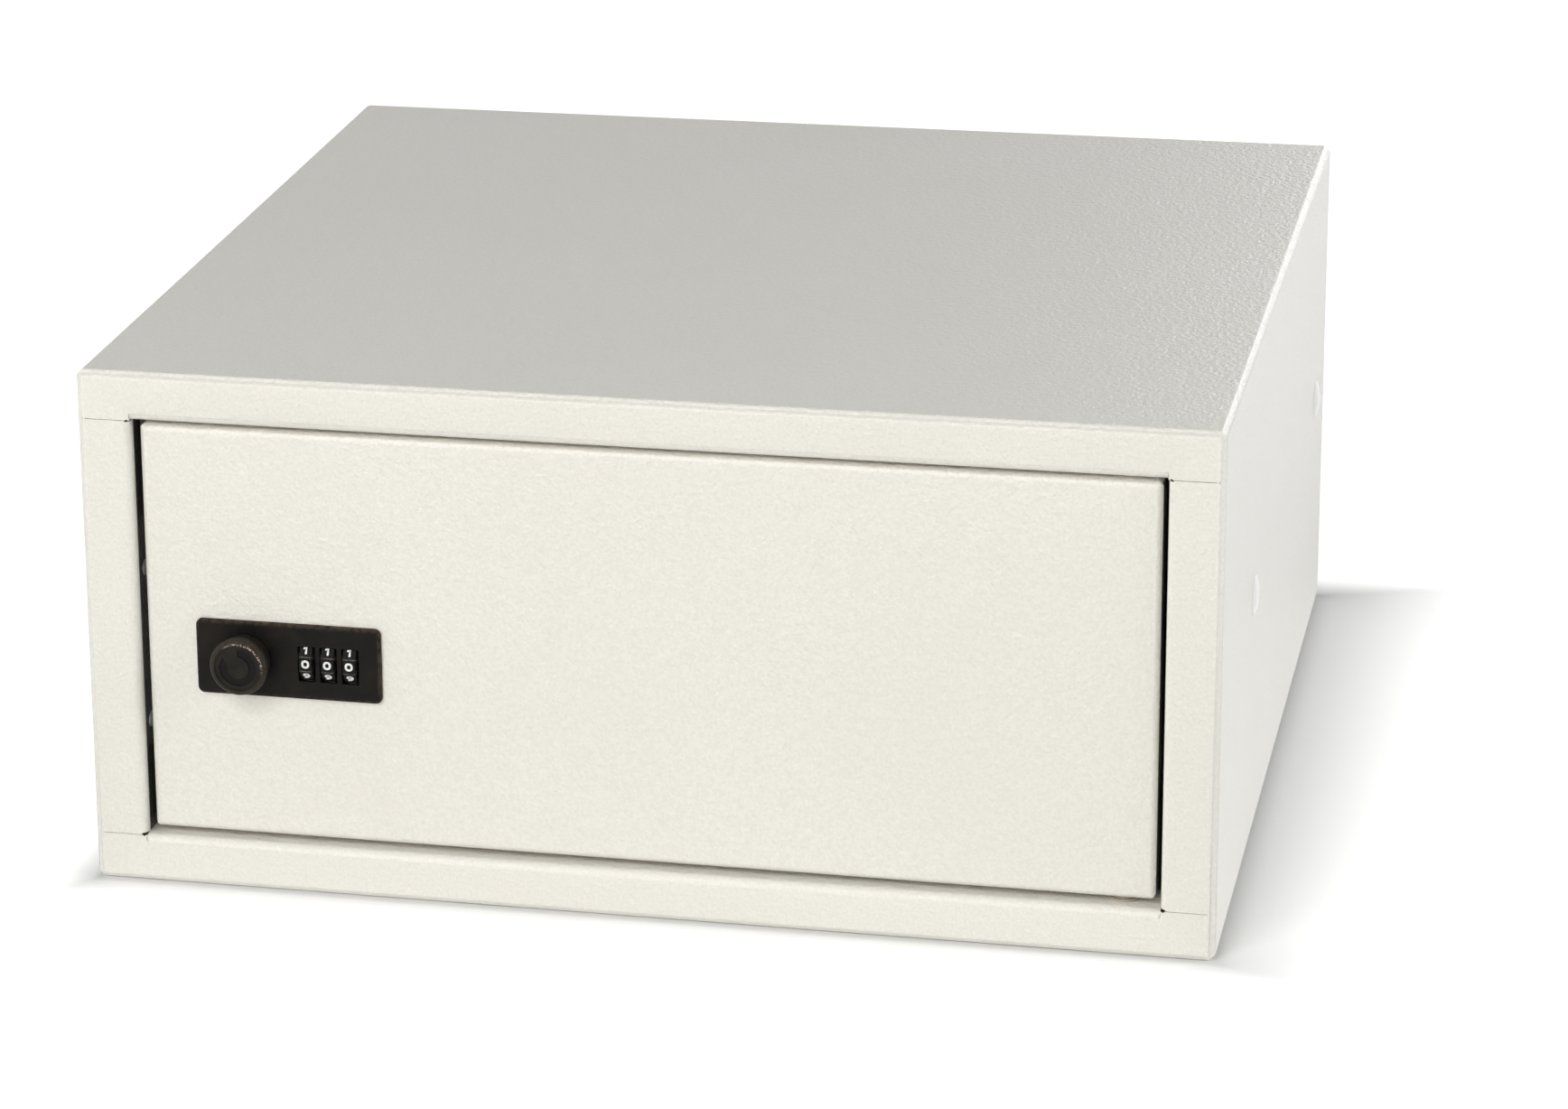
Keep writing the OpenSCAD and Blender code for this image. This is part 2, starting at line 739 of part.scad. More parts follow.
module lock_rear_cover() color(zinc) from_front() difference() {
    translate([case_left, case_back, lock_z - case_half])
        cube([case_right - case_left, cover_t, 2 * case_half]);
    along_y(case_back - cut, cover_t + 2 * cut) {
        translate([knob_x, lock_z]) circle(shaft_r + shaft_clear);
        translate([code_x, code_z]) circle(code_head_r + shaft_clear);
        for (z = [-1, 1])
            translate([case_mid, lock_z + z * cover_screw_rise]) circle(cover_screw_r + thread_clear);
    }
}

module cover_screws() color(zinc) from_front()
    for (z = [-1, 1])
        rear_screw(case_mid, cover_back, lock_z + z * cover_screw_rise, cover_screw_r,
            cover_screw_l, cover_screw_head_r, cover_screw_head_h);

module clamp_plate() color(zinc) from_front()
    along_y(door_face_back, clamp_t) difference() {
        translate([lock_x, lock_z])
            square([plate_w - 2 * clamp_margin, plate_h - 2 * clamp_margin], center = true);
        translate([(case_left + case_right) / 2, lock_z])
            square([case_right - case_left + 2 * case_clear, 2 * (case_half + case_clear)], center = true);
        for (x = [-1, 1])
            translate([lock_x + x * (plate_w / 2 - boss_in), lock_z])
                circle(clamp_screw_r + thread_clear);
    }

module clamp_screws() color(zinc) from_front()
    for (x = [-1, 1])
        rear_screw(lock_x + x * (plate_w / 2 - boss_in), door_face_back + clamp_t, lock_z,
            clamp_screw_r, clamp_screw_l, clamp_screw_head_r, clamp_screw_head_h);

module dial_axle() color(zinc) from_front()
    along_x(dials_left - axle_seat, case_right - dials_left + axle_seat)
        translate([dial_y, lock_z]) circle(axle_r);

// Leaf on the case's floor with a finger under each dial; the finger's dip holds a corner of the dial
module detent_spring() color(brass) from_front() translate([0, 0, lock_z - cavity_half]) {
    foot_y = dial_y + 5;
    finger_w = dial_w - 1;
    crest_in = 1.5;
    dip = 0.2;
    top = [[foot_y + 0.5, spring_t], [foot_y, spring_t], [dial_y + crest_in, spring_rise + spring_t],
        [dial_y, spring_rise - dip + spring_t], [dial_y - crest_in, spring_rise + spring_t],
        [foot_y - spring_reach, spring_t + 0.1]];
    along_x(dials_left + run_gap, dials_right - dials_left - 2 * run_gap)
        translate([foot_y, 0]) square([spring_foot, spring_t]);
    for (i = [1 : dial_n])
        along_x(dial_x(i) - finger_w / 2, finger_w)
            polygon(concat(top, [for (k = [len(top) - 1 : -1 : 0]) top[k] - [0, spring_t]]));
}

// Comb of the lock at its unlocked end, with the yoke that runs on the spindle's eccentric
module locking_slide() color(brass) from_front() {
    yoke_x = knob_x - slide_half;
    window_half_h = eccentric_r + eccentric_throw + yoke_clear;
    bar_end = dial_x(dial_n) - dial_pitch / 2 - slide_half + fin_t / 2;
    along_y(slide_y, slide_t) difference() {
        union() {
            translate([yoke_x, lock_z])
                square([2 * yoke_half, 2 * (window_half_h + yoke_wall / 2)], center = true);
            translate([yoke_x, lock_z - bar_h / 2]) square([bar_end - yoke_x, bar_h]);
        }
        translate([yoke_x, lock_z])
            square([2 * (eccentric_r + yoke_clear), 2 * window_half_h], center = true);
    }
    for (i = [1 : dial_n])
        translate([dial_x(i) - dial_pitch / 2 - slide_half - fin_t / 2, dial_y + fin_reach,
            lock_z - fin_w / 2])
            cube([fin_t, slide_y - dial_y - fin_reach + slide_t / 2, fin_w]);
}

// Ten flat faces, with the first number facing forward
module dial(i) color(black) from_front()
    translate([dial_x(i), dial_y, lock_z]) rotate([0, 90, 0]) difference() {
        intersection() {
            translate([0, 0, -dial_w / 2]) rotate(90 + 180 / dog_n)
                cylinder(r = wheel_r, h = dial_w, $fn = 10);
            rotate(45 / dog_n) rotate_extrude()
                polygon([[0, -dial_w / 2], [wheel_r - wheel_chamfer, -dial_w / 2],
                    [wheel_r + cut, -dial_w / 2 + wheel_chamfer + cut],
                    [wheel_r + cut, dial_w / 2 - wheel_chamfer - cut],
                    [wheel_r - wheel_chamfer, dial_w / 2], [0, dial_w / 2]]);
        }
        translate([0, 0, -dial_w / 2 - cut]) cylinder(r = sleeve_r + axle_clear, h = dial_w + 2 * cut);
        for (k = [0 : dog_n - 1])
            rotate(k * 360 / dog_n)
                translate([0, -dog_w / 2 - dog_clear, -dial_w / 2 - cut])
                    cube([dog_r + dog_clear, dog_w + 2 * dog_clear, dial_w / 2 + cut + dog_clear]);
    }

module dial_1() dial(1);
module dial_2() dial(2);
module dial_3() dial(3);

// Tube on the axle with ten dogs in its wheel and a disc whose gate lets one fin pass
module code_sleeve(i) color(brass) from_front()
    translate([dial_x(i), dial_y, lock_z]) rotate([0, 90, 0]) {
        disc_x = -dial_pitch / 2;
        difference() {
            union() {
                translate([0, 0, sleeve_left]) cylinder(r = sleeve_r, h = sleeve_right - sleeve_left);
                translate([0, 0, disc_x - fin_t / 2]) cylinder(r = gate_r, h = fin_t);
                for (k = [0 : dog_n - 1])
                    rotate(k * 360 / dog_n) translate([sleeve_r - 0.5, -dog_w / 2, -dial_w / 2])
                        cube([dog_r - sleeve_r + 0.5, dog_w, dial_w / 2]);
            }
            translate([0, 0, sleeve_left - cut])
                cylinder(r = axle_r + axle_clear, h = dial_pitch + 2 * cut);
            rotate(90) translate([gate_floor_r, -gate_w / 2, disc_x - fin_t])
                cube([gate_r, gate_w, 2 * fin_t]);
        }
    }

module code_sleeve_1() code_sleeve(1);
module code_sleeve_2() code_sleeve(2);
module code_sleeve_3() code_sleeve(3);

module code_change_screw() color(brass) from_front() translate([code_x, 0, code_z]) difference() {
    union() {
        along_y(case_back - code_flange_t - 0.1, code_flange_t) circle(code_flange_r);
        along_y(case_back - code_flange_t, code_flange_t + cover_t + code_proud) circle(code_head_r);
    }
    along_y(cover_back + code_proud - screw_slot_d, screw_slot_d + cut)
        square([2 * code_head_r + cut, screw_slot_w], center = true);
}

body_shell();
back_panel();
side_plugs();
lower_pivot_pin();
upper_pivot_pin();
pin_clip();
pivot_washer();
strike_angle();
strike_rivets();
door_buffers();
door_panel();
door_stiffener();
lower_bush();
upper_bush();
lock_housing();
lock_rear_cover();
cover_screws();
clamp_plate();
clamp_screws();
dial_axle();
detent_spring();
knob();
spindle();
cam();
cam_washer();
cam_screw();
locking_slide();
dial_1();
dial_2();
dial_3();
code_sleeve_1();
code_sleeve_2();
code_sleeve_3();
code_change_screw();
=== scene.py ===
from math import cos, pi, radians, sin

import bmesh
import bpy
from mathutils import Matrix, Vector


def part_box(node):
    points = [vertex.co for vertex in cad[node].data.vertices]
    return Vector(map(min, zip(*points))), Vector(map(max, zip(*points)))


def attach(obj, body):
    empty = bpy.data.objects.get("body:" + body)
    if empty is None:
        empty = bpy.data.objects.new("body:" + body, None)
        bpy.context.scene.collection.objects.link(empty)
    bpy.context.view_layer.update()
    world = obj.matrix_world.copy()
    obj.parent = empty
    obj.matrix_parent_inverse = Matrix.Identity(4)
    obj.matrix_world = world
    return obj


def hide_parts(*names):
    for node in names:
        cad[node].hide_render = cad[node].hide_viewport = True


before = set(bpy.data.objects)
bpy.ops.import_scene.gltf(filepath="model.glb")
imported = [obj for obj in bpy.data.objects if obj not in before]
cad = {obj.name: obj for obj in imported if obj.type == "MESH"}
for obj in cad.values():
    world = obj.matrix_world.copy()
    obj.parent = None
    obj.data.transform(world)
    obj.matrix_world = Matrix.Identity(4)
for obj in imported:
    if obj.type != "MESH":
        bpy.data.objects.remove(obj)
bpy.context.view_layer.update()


# Camera
# The photograph is taken from a little to the right and from above, with a long lens.
# It is a cut from a larger picture, so the lens is shifted; the cabinet's edges gave the numbers.

camera_turn = radians(13.245)
camera_rise = radians(17.411)
camera_roll = radians(-0.891)
camera_target = Vector((-0.01796, -0.2, 0.20009))
camera_distance = 1.82364

camera_data = bpy.data.cameras.new("photo_camera")
camera_data.lens = 117.397
camera_data.sensor_width = 36
camera_data.shift_x = 0.1256
camera_data.shift_y = -0.1002
camera_data.clip_start = 0.05
camera_data.clip_end = 50
camera = bpy.data.objects.new("photo_camera", camera_data)
bpy.context.scene.collection.objects.link(camera)

towards_camera = Vector((
    sin(camera_turn) * cos(camera_rise),
    -cos(camera_turn) * cos(camera_rise),
    sin(camera_rise),
))
level_right = Vector((cos(camera_turn), sin(camera_turn), 0))
level_up = level_right.cross(-towards_camera)
frame_right = cos(camera_roll) * level_right + sin(camera_roll) * level_up
frame_up = cos(camera_roll) * level_up - sin(camera_roll) * level_right
camera_axes = Matrix((frame_right, frame_up, towards_camera)).transposed()
camera_place = Matrix.Translation(camera_target + camera_distance * towards_camera)
camera.matrix_world = camera_place @ camera_axes.to_4x4()
bpy.context.scene.camera = camera
bpy.context.scene.view_settings.view_transform = "Standard"


# Studio light and the white sweep
# A large soft box stands in front, with others at both sides and behind and a strip high in front.
# The floor and the room are white to the camera and in reflections, and the floor keeps the shadow;
# its glow is lower near the cabinet, which paints a shadow there.

def add_node(tree, kind, **settings):
    """Adds a node of this kind, with its own settings."""
    made = tree.nodes.new(kind)
    for name, value in settings.items():
        setattr(made, name, value)
    return made


def seen_directly(tree):
    """1 for what the camera sees, also in a reflection or through glass, and 0 for light in the room."""
    path = add_node(tree, "ShaderNodeLightPath")
    either = add_node(tree, "ShaderNodeMath", operation="MAXIMUM")
    tree.links.new(path.outputs["Is Camera Ray"], either.inputs[0])
    tree.links.new(path.outputs["Is Glossy Ray"], either.inputs[1])
    any_of_three = add_node(tree, "ShaderNodeMath", operation="MAXIMUM")
    tree.links.new(either.outputs[0], any_of_three.inputs[0])
    tree.links.new(path.outputs["Is Transmission Ray"], any_of_three.inputs[1])
    return any_of_three.outputs[0]


def mix_colours(tree, share, first, second):
    """Mixes two colours, each a plain colour or a socket, by a share from 0 to 1."""
    mixer = add_node(tree, "ShaderNodeMix", data_type="RGBA")
    tree.links.new(share, mixer.inputs["Factor"])
    for socket, colour in ((mixer.inputs[6], first), (mixer.inputs[7], second)):
        if isinstance(colour, tuple):
            socket.default_value = (*colour, 1)
        else:
            tree.links.new(colour, socket)
    return mixer.outputs[2]


def surface_place(tree):
    """The place on the piece that a pattern reads, in metres."""
    found = tree.nodes.get("Texture Coordinate")
    return (found or add_node(tree, "ShaderNodeTexCoord")).outputs["Object"]


def fit_range(tree, value, low, high, out_low=0.0, out_high=1.0):
    """Stretches the values between low and high to a new range and holds them inside it."""
    fit = add_node(tree, "ShaderNodeMapRange")
    tree.links.new(value, fit.inputs["Value"])
    fit.inputs["From Min"].default_value = low
    fit.inputs["From Max"].default_value = high
    fit.inputs["To Min"].default_value = out_low
    fit.inputs["To Max"].default_value = out_high
    return fit.outputs[0]


def calculate(tree, operation, first, second=0.0):
    """One step of arithmetic on sockets or plain numbers."""
    step = add_node(tree, "ShaderNodeMath", operation=operation)
    for socket, value in zip(step.inputs, (first, second)):
        if isinstance(value, (int, float)):
            socket.default_value = value
        else:
            tree.links.new(value, socket)
    return step.outputs[0]


room = bpy.data.worlds.new("white_room")
room.use_nodes = True
bpy.context.scene.world = room
room_light = (0.03, 0.03, 0.032)
white = (1.0, 1.0, 1.0)
room_tree = room.node_tree
room_colour = mix_colours(room_tree, seen_directly(room_tree), room_light, white)
room_tree.links.new(room_colour, room_tree.nodes["Background"].inputs["Color"])

# The floor's glow grows in three steps with the distance from the cabinet's foot, so the floor is darker
# near the foot: a painted shadow added to the cast one. It grows faster in front, behind and at the
# left, where the photograph is whiter.
cabinet_half_w = 0.21
cabinet_half_d = 0.2
cabinet_h = 0.2
middle_z = cabinet_h / 2
floor_colour = (0.80, 0.80, 0.80)
foot_start = -0.001
foot_end = 0.008
shadow_end = 0.065
white_from = 0.60
near_glow = 0.18
clear_glow = 0.72
far_glow = 0.82
mirrored_glow = 0.75
left_growth = 4
front_growth = 3
floor_paint = bpy.data.materials.new("white_floor")
floor_paint.use_nodes = True
floor_tree = floor_paint.node_tree
floor_tree.nodes.clear()
floor_matt = add_node(floor_tree, "ShaderNodeBsdfDiffuse")
floor_matt.inputs["Color"].default_value = (*floor_colour, 1)
floor_light = add_node(floor_tree, "ShaderNodeEmission")
floor_place = add_node(floor_tree, "ShaderNodeSeparateXYZ")
floor_tree.links.new(surface_place(floor_tree), floor_place.inputs[0])
past_right = calculate(floor_tree, "SUBTRACT", floor_place.outputs["X"], cabinet_half_w)
past_left = calculate(floor_tree, "SUBTRACT", -cabinet_half_w, floor_place.outputs["X"])
left_part = calculate(floor_tree, "MULTIPLY", past_left, left_growth)
beside = calculate(floor_tree, "MAXIMUM", past_right, left_part)
from_middle = calculate(floor_tree, "ABSOLUTE", floor_place.outputs["Y"])
past_front = calculate(floor_tree, "SUBTRACT", from_middle, cabinet_half_d)
front_part = calculate(floor_tree, "MULTIPLY", past_front, front_growth)
away = calculate(floor_tree, "MAXIMUM", beside, front_part)
# Painted shadow: no glow at the foot, rising to clear_glow at shadow_end.
foot_part = fit_range(floor_tree, away, foot_start, foot_end, 0.0, near_glow)
near_part = fit_range(floor_tree, away, foot_end, shadow_end, 0.0, clear_glow - near_glow)
far_part = fit_range(floor_tree, away, shadow_end, white_from, 0.0, far_glow - clear_glow)
glow = calculate(floor_tree, "ADD", calculate(floor_tree, "ADD", foot_part, near_part), far_part)
floor_path = add_node(floor_tree, "ShaderNodeLightPath")
mirrored = calculate(floor_tree, "MULTIPLY", floor_path.outputs["Is Glossy Ray"], mirrored_glow)
glow = calculate(floor_tree, "MAXIMUM", glow, mirrored)
seen_glow = calculate(floor_tree, "MULTIPLY", glow, seen_directly(floor_tree))
floor_tree.links.new(seen_glow, floor_light.inputs["Strength"])
floor_sum = add_node(floor_tree, "ShaderNodeAddShader")
floor_tree.links.new(floor_matt.outputs[0], floor_sum.inputs[0])
floor_tree.links.new(floor_light.outputs[0], floor_sum.inputs[1])
floor_out = add_node(floor_tree, "ShaderNodeOutputMaterial")
floor_tree.links.new(floor_sum.outputs[0], floor_out.inputs["Surface"])

floor_half = 15
floor_z = -0.0003
floor_mesh = bpy.data.meshes.new("studio_floor")
floor_corners = [(-floor_half, -floor_half, floor_z), (floor_half, -floor_half, floor_z),
                 (floor_half, floor_half, floor_z), (-floor_half, floor_half, floor_z)]
floor_mesh.from_pydata(floor_corners, [], [(0, 1, 2, 3)])
floor_mesh.materials.append(floor_paint)
floor = bpy.data.objects.new("studio_floor", floor_mesh)
bpy.context.scene.collection.objects.link(floor)


def add_soft_box(name, place, width, height, power, colour):
    """A rectangular area light that faces the middle of the safe."""
    light = bpy.data.lights.new(name, "AREA")
    light.shape = "RECTANGLE"
    light.size = width
    light.size_y = height
    light.energy = power
    light.color = colour
    box = bpy.data.objects.new(name, light)
    bpy.context.scene.collection.objects.link(box)
    box.location = place
    aim = Vector((0, 0, middle_z)) - Vector(place)
    box.rotation_mode = "QUATERNION"
    box.rotation_quaternion = aim.to_track_quat("-Z", "Y")


add_soft_box("front_soft_box", (-0.5, -2.4, 0.95), 2.2, 1.7, 38, (1.0, 0.978, 0.935))
add_soft_box("right_soft_box", (2.0, -0.4, 1.0), 1.2, 1.2, 20, (0.98, 0.995, 1.0))
add_soft_box("left_soft_box", (-2.4, -0.8, 0.9), 1.2, 1.2, 12, white)
add_soft_box("upper_strip", (-0.5, -1.9, 1.9), 1.2, 0.25, 13, (0.97, 1.0, 0.995))
add_soft_box("back_soft_box", (0.85, 2.3, 0.8), 1.6, 1.2, 17, white)


# Cabinet shell
# The cabinet is folded from 2 mm sheet steel and painted with a cream powder coat.
# The coat has a fine orange peel, and it rounds every edge of the sheet a little.

def add_noise(tree, scale, detail):
    """Soft random pattern; scale is its number of grains in a metre."""
    noise = add_node(tree, "ShaderNodeTexNoise")
    noise.inputs["Scale"].default_value = scale
    noise.inputs["Detail"].default_value = detail
    tree.links.new(surface_place(tree), noise.inputs["Vector"])
    return noise.outputs[0]


def add_bump(tree, height, depth, under=None):
    """Raises the surface by up to depth metres where the pattern is light."""
    bump = add_node(tree, "ShaderNodeBump")
    bump.inputs["Distance"].default_value = depth
    tree.links.new(height, bump.inputs["Height"])
    if under is not None:
        tree.links.new(under, bump.inputs["Normal"])
    return bump.outputs[0]


def start_finish(name, colour, roughness, metallic=0.0, specular=0.5):
    """A material with its plain values on the shader's own sockets."""
    finish = bpy.data.materials.new(name)
    finish.use_nodes = True
    shader = finish.node_tree.nodes["Principled BSDF"]
    shader.inputs["Base Color"].default_value = (*colour, 1)
    shader.inputs["Roughness"].default_value = roughness
    shader.inputs["Metallic"].default_value = metallic
    shader.inputs["Specular IOR Level"].default_value = specular
    return finish, finish.node_tree, shader


def patchy(tree, scale, detail, low, high, first, second):
    """Two colours that pass into each other in soft patches, between these two levels of the noise."""
    patch = fit_range(tree, add_noise(tree, scale, detail), low, high)
    return mix_colours(tree, patch, first, second)


def vary_gloss(tree, shader, scale, detail, low, high):
    """Lets the roughness drift between low and high with a noise of this scale."""
    drift = fit_range(tree, add_noise(tree, scale, detail), 0.3, 0.7, low, high)
    tree.links.new(drift, shader.inputs["Roughness"])


def add_grain(tree, shader, scale, detail, depth):
    """Gives the surface a fine grain of up to depth metres."""
    grain = add_bump(tree, add_noise(tree, scale, detail), depth)
    tree.links.new(grain, shader.inputs["Normal"])


def between(tree, value, bounds):
    """1 where the value lies inside its bounds, with a quick fade of a twentieth of a millimetre."""
    low, high = bounds
    fade = 0.00005
    above = fit_range(tree, value, low, low + fade)
    below = fit_range(tree, value, high, high - fade)
    return calculate(tree, "MULTIPLY", above, below)


# Painted shade: the left stile's lip, the door's flange at its hinge side and the walls of the butt
# seams are painted near black, where the gaps lie in shade. Heights are measured from the middle.
stile_lip_x = (-0.1906, -0.1889)
stile_lip_y = (-0.1953, -0.1870)
door_flange_x = (0.1873, 0.1889)
door_flange_y = (-0.1938, -0.1700)
opening_half_h = 0.0813
seam_x = (0.1900, 0.2079)
seam_y = (-0.1998, -0.1950)
seam_z = (0.0808, 0.0820)


def make_cream_powder_coat():
    """Cream powder coat with orange peel and a faint cloud, and painted shade in the door's gap.

    The lips and flanges in the gap and the walls of the seams are painted near black as painted shade."""
    finish, tree, shader = start_finish("cream_powder_coat", (0.80, 0.78, 0.72), 0.36)
    ground = patchy(tree, 14, 3, 0.35, 0.65, (0.810, 0.790, 0.727), (0.826, 0.809, 0.752))
    fleck = fit_range(tree, add_noise(tree, 900, 1), 0.3, 0.7)
    fleck_share = calculate(tree, "MULTIPLY", fleck, 0.8)
    colour = mix_colours(tree, fleck_share, ground, (0.755, 0.735, 0.68))
    place = add_node(tree, "ShaderNodeSeparateXYZ")
    tree.links.new(surface_place(tree), place.inputs[0])
    x, y, z = place.outputs
    beside = calculate(tree, "ABSOLUTE", x)
    from_middle = calculate(tree, "ABSOLUTE", calculate(tree, "SUBTRACT", z, middle_z))
    in_opening = calculate(tree, "LESS_THAN", from_middle, opening_half_h)
    lip_depth = between(tree, y, stile_lip_y)
    lip = calculate(tree, "MULTIPLY", between(tree, x, stile_lip_x), lip_depth)
    flange_depth = between(tree, y, door_flange_y)
    flange = calculate(tree, "MULTIPLY", between(tree, x, door_flange_x), flange_depth)
    gap_shade_mask = calculate(tree, "MULTIPLY", calculate(tree, "MAXIMUM", lip, flange), in_opening)
    along_seam = calculate(tree, "MULTIPLY", between(tree, beside, seam_x), between(tree, y, seam_y))
    seam_shade_mask = calculate(tree, "MULTIPLY", between(tree, from_middle, seam_z), along_seam)
    painted_gap_shade = calculate(tree, "MAXIMUM", gap_shade_mask, seam_shade_mask)
    # Painted shade: near black wherever the gap and seam masks pick.
    coat_with_painted_shade = mix_colours(tree, painted_gap_shade, colour, (0.028, 0.025, 0.021))
    tree.links.new(coat_with_painted_shade, shader.inputs["Base Color"])
    vary_gloss(tree, shader, 350, 2, 0.31, 0.35)
    wave = add_bump(tree, add_noise(tree, 400, 2), 0.00045)
    peel = add_bump(tree, add_noise(tree, 800, 2), 0.00015, wave)
    tree.links.new(peel, shader.inputs["Normal"])
    return finish


# Corners nearer than this are one; flatter edges are joined away and sharper ones are rounded
same_place = 0.000001
flat_angle = radians(0.5)
sharp_angle = radians(32)


def touches(line, picks):
    """True where one end of an edge lies at a place that is picked."""
    return picks is not None and any(picks(corner.co) for corner in line.verts)


def finish_copy(node_name, piece_name, material, body, edge,
                left_sharp=None, left_cut=None, reshape=None):
    """Dresses a copy of a CAD piece: its sharp edges are rounded, except where left_sharp picks.

    Flat faces are joined first, except where left_cut picks, and reshape may move corners. Where three
    edges meet the rounding can shoot out, so every corner is held inside the CAD piece's own box."""
    mesh = cad[node_name].data.copy()
    mesh.name = piece_name
    shape = bmesh.new()
    shape.from_mesh(mesh)
    bmesh.ops.remove_doubles(shape, verts=shape.verts, dist=same_place)
    joined = [line for line in shape.edges if not touches(line, left_cut)]
    corners = {corner for line in joined for corner in line.verts}
    bmesh.ops.dissolve_limit(shape, angle_limit=flat_angle, verts=list(corners), edges=joined)
    if reshape is not None:
        for corner in shape.verts:
            corner.co = reshape(corner.co)
    roundness = shape.edges.layers.float.new("bevel_weight_edge")
    for line in shape.edges:
        folded = line.is_manifold and line.calc_face_angle() > sharp_angle
        skipped = touches(line, left_sharp)
        line[roundness] = 1.0 if folded and not skipped else 0.0
        line.smooth = not (folded and skipped)
    shape.to_mesh(mesh)
    shape.free()
    own_normals = mesh.attributes.get("custom_normal")
    if own_normals is not None:
        mesh.attributes.remove(own_normals)
    mesh.shade_smooth()
    mesh.materials.clear()
    mesh.materials.append(material)
    piece = bpy.data.objects.new(piece_name, mesh)
    bpy.context.scene.collection.objects.link(piece)
    rounding = piece.modifiers.new("edge_rounding", "BEVEL")
    rounding.width = edge
    rounding.segments = 2
    rounding.limit_method = "WEIGHT"
    rounding.use_clamp_overlap = False
    facing = piece.modifiers.new("flat_faces", "WEIGHTED_NORMAL")
    facing.keep_sharp = True
    settle(piece)
    least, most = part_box(node_name)
    for corner in piece.data.vertices:
        corner.co = [min(max(value, low), high) for value, low, high in zip(corner.co, least, most)]
    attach(piece, body)
    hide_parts(node_name)


def settle(piece):
    """Turns the result of a piece's modifiers into its plain mesh."""
    bpy.context.view_layer.update()
    shown = piece.evaluated_get(bpy.context.evaluated_depsgraph_get())
    plain = bpy.data.meshes.new_from_object(shown)
    plain.name = piece.name
    piece.modifiers.clear()
    piece.data = plain


cream_powder_coat = make_cream_powder_coat()
cabinet_edge = 0.0004
seam_rise = 0.0186
seam_start = 0.189
seam_reach = 0.0014
outer_bend = 0.003
ball_radius = 0.0029


def near_seam(place):
    """Picks the four butt seams between the stiles and the rails, and their relief holes."""
    from_seam = abs(abs(place.z - middle_z) - (middle_z - seam_rise))
    return abs(place.x) > seam_start and from_seam < seam_reach


def ground_corner(place):
    """Draws the four outer front corners, where three bends meet, in to a ball as if ground round."""
    side = 1 if place.x > 0 else -1
    level = 1 if place.z > middle_z else -1
    middle = Vector((
        side * (cabinet_half_w - outer_bend),
        outer_bend - cabinet_half_d,
        middle_z + level * (middle_z - outer_bend),
    ))
    out = place - middle
    past_bends = min(side * out.x, -out.y, level * out.z)
    if past_bends < 0.0002 or out.length < outer_bend + 0.0001:
        return place
    return middle + out.normalized() * ball_radius


finish_copy("body_shell", "cabinet_shell", cream_powder_coat, "cabinet",
            cabinet_edge, left_sharp=near_seam, reshape=ground_corner)


# Back panel
# A flanged tray of the same sheet that closes the rear, welded inside the shell.
# It has two holes for wall bolts and the same paint.

finish_copy("back_panel", "back_plate", cream_powder_coat, "cabinet",
            cabinet_edge)


# Side plugs
# Four cream plastic plugs close the side holes; each is one moulding with a low domed head.
# The hollow shank snaps in behind the sheet.

def turn_blank(name, outline, steps=64):
    """Turns an outline of (radius, height) points in millimetres about Z into a closed mesh."""
    shape = bmesh.new()
    points = [shape.verts.new((radius / 1000, 0, height / 1000)) for radius, height in outline]
    lines = [shape.edges.new(pair) for pair in zip(points, points[1:])]
    axis = (0, 0, 1)
    bmesh.ops.spin(shape, geom=points + lines, cent=(0, 0, 0), axis=axis, angle=2 * pi, steps=steps)
    bmesh.ops.remove_doubles(shape, verts=shape.verts, dist=0.0000001)
    bmesh.ops.recalc_face_normals(shape, faces=shape.faces)
    mesh = bpy.data.meshes.new(name)
    shape.to_mesh(mesh)
    shape.free()
    mesh.shade_smooth()
    mesh.set_sharp_from_angle(angle=radians(28))
    piece = bpy.data.objects.new(name, mesh)
    bpy.context.scene.collection.objects.link(piece)
    return piece


def start_tree(name, sizes):
    """A Geometry Nodes tree with a named input for each of its sizes."""
    tree = bpy.data.node_groups.new(name, "GeometryNodeTree")
    tree.interface.new_socket("Geometry", in_out="INPUT", socket_type="NodeSocketGeometry")
    for label, kind in sizes:
        tree.interface.new_socket(label, in_out="INPUT", socket_type="NodeSocket" + kind)
    tree.interface.new_socket("Geometry", in_out="OUTPUT", socket_type="NodeSocketGeometry")
    return tree, add_node(tree, "NodeGroupInput")


def end_tree(tree, inputs, geometry):
    """Closes a tree with Realize Instances and Set Material, which reads the input Material."""
    real = add_node(tree, "GeometryNodeRealizeInstances")
    painted = add_node(tree, "GeometryNodeSetMaterial")
    out = add_node(tree, "NodeGroupOutput")
    tree.links.new(geometry, real.inputs["Geometry"])
    tree.links.new(real.outputs["Geometry"], painted.inputs["Geometry"])
    tree.links.new(inputs.outputs["Material"], painted.inputs["Material"])
    tree.links.new(painted.outputs["Geometry"], out.inputs["Geometry"])


def grow(piece, tree, values):
    """Runs a tree on a piece with these values and keeps the result as a plain mesh."""
    growth = piece.modifiers.new(tree.name, "NODES")
    growth.node_group = tree
    for socket in tree.interface.items_tree:
        if socket.in_out == "INPUT" and socket.name in values:
            growth[socket.identifier] = values[socket.name]
    settle(piece)


def make_cream_plastic():
    """Moulded cream plastic, with the fine even grain of an eroded mould."""
    finish, tree, shader = start_finish("cream_plastic", (0.955, 0.95, 0.925), 0.2)
    grain = add_noise(tree, 2600, 1)
    tint = fit_range(tree, grain, 0.3, 0.7)
    colour = mix_colours(tree, tint, (0.94, 0.93, 0.905), (0.97, 0.965, 0.945))
    tree.links.new(colour, shader.inputs["Base Color"])
    vary_gloss(tree, shader, 500, 2, 0.16, 0.26)
    tree.links.new(add_bump(tree, grain, 0.000012), shader.inputs["Normal"])
    return finish


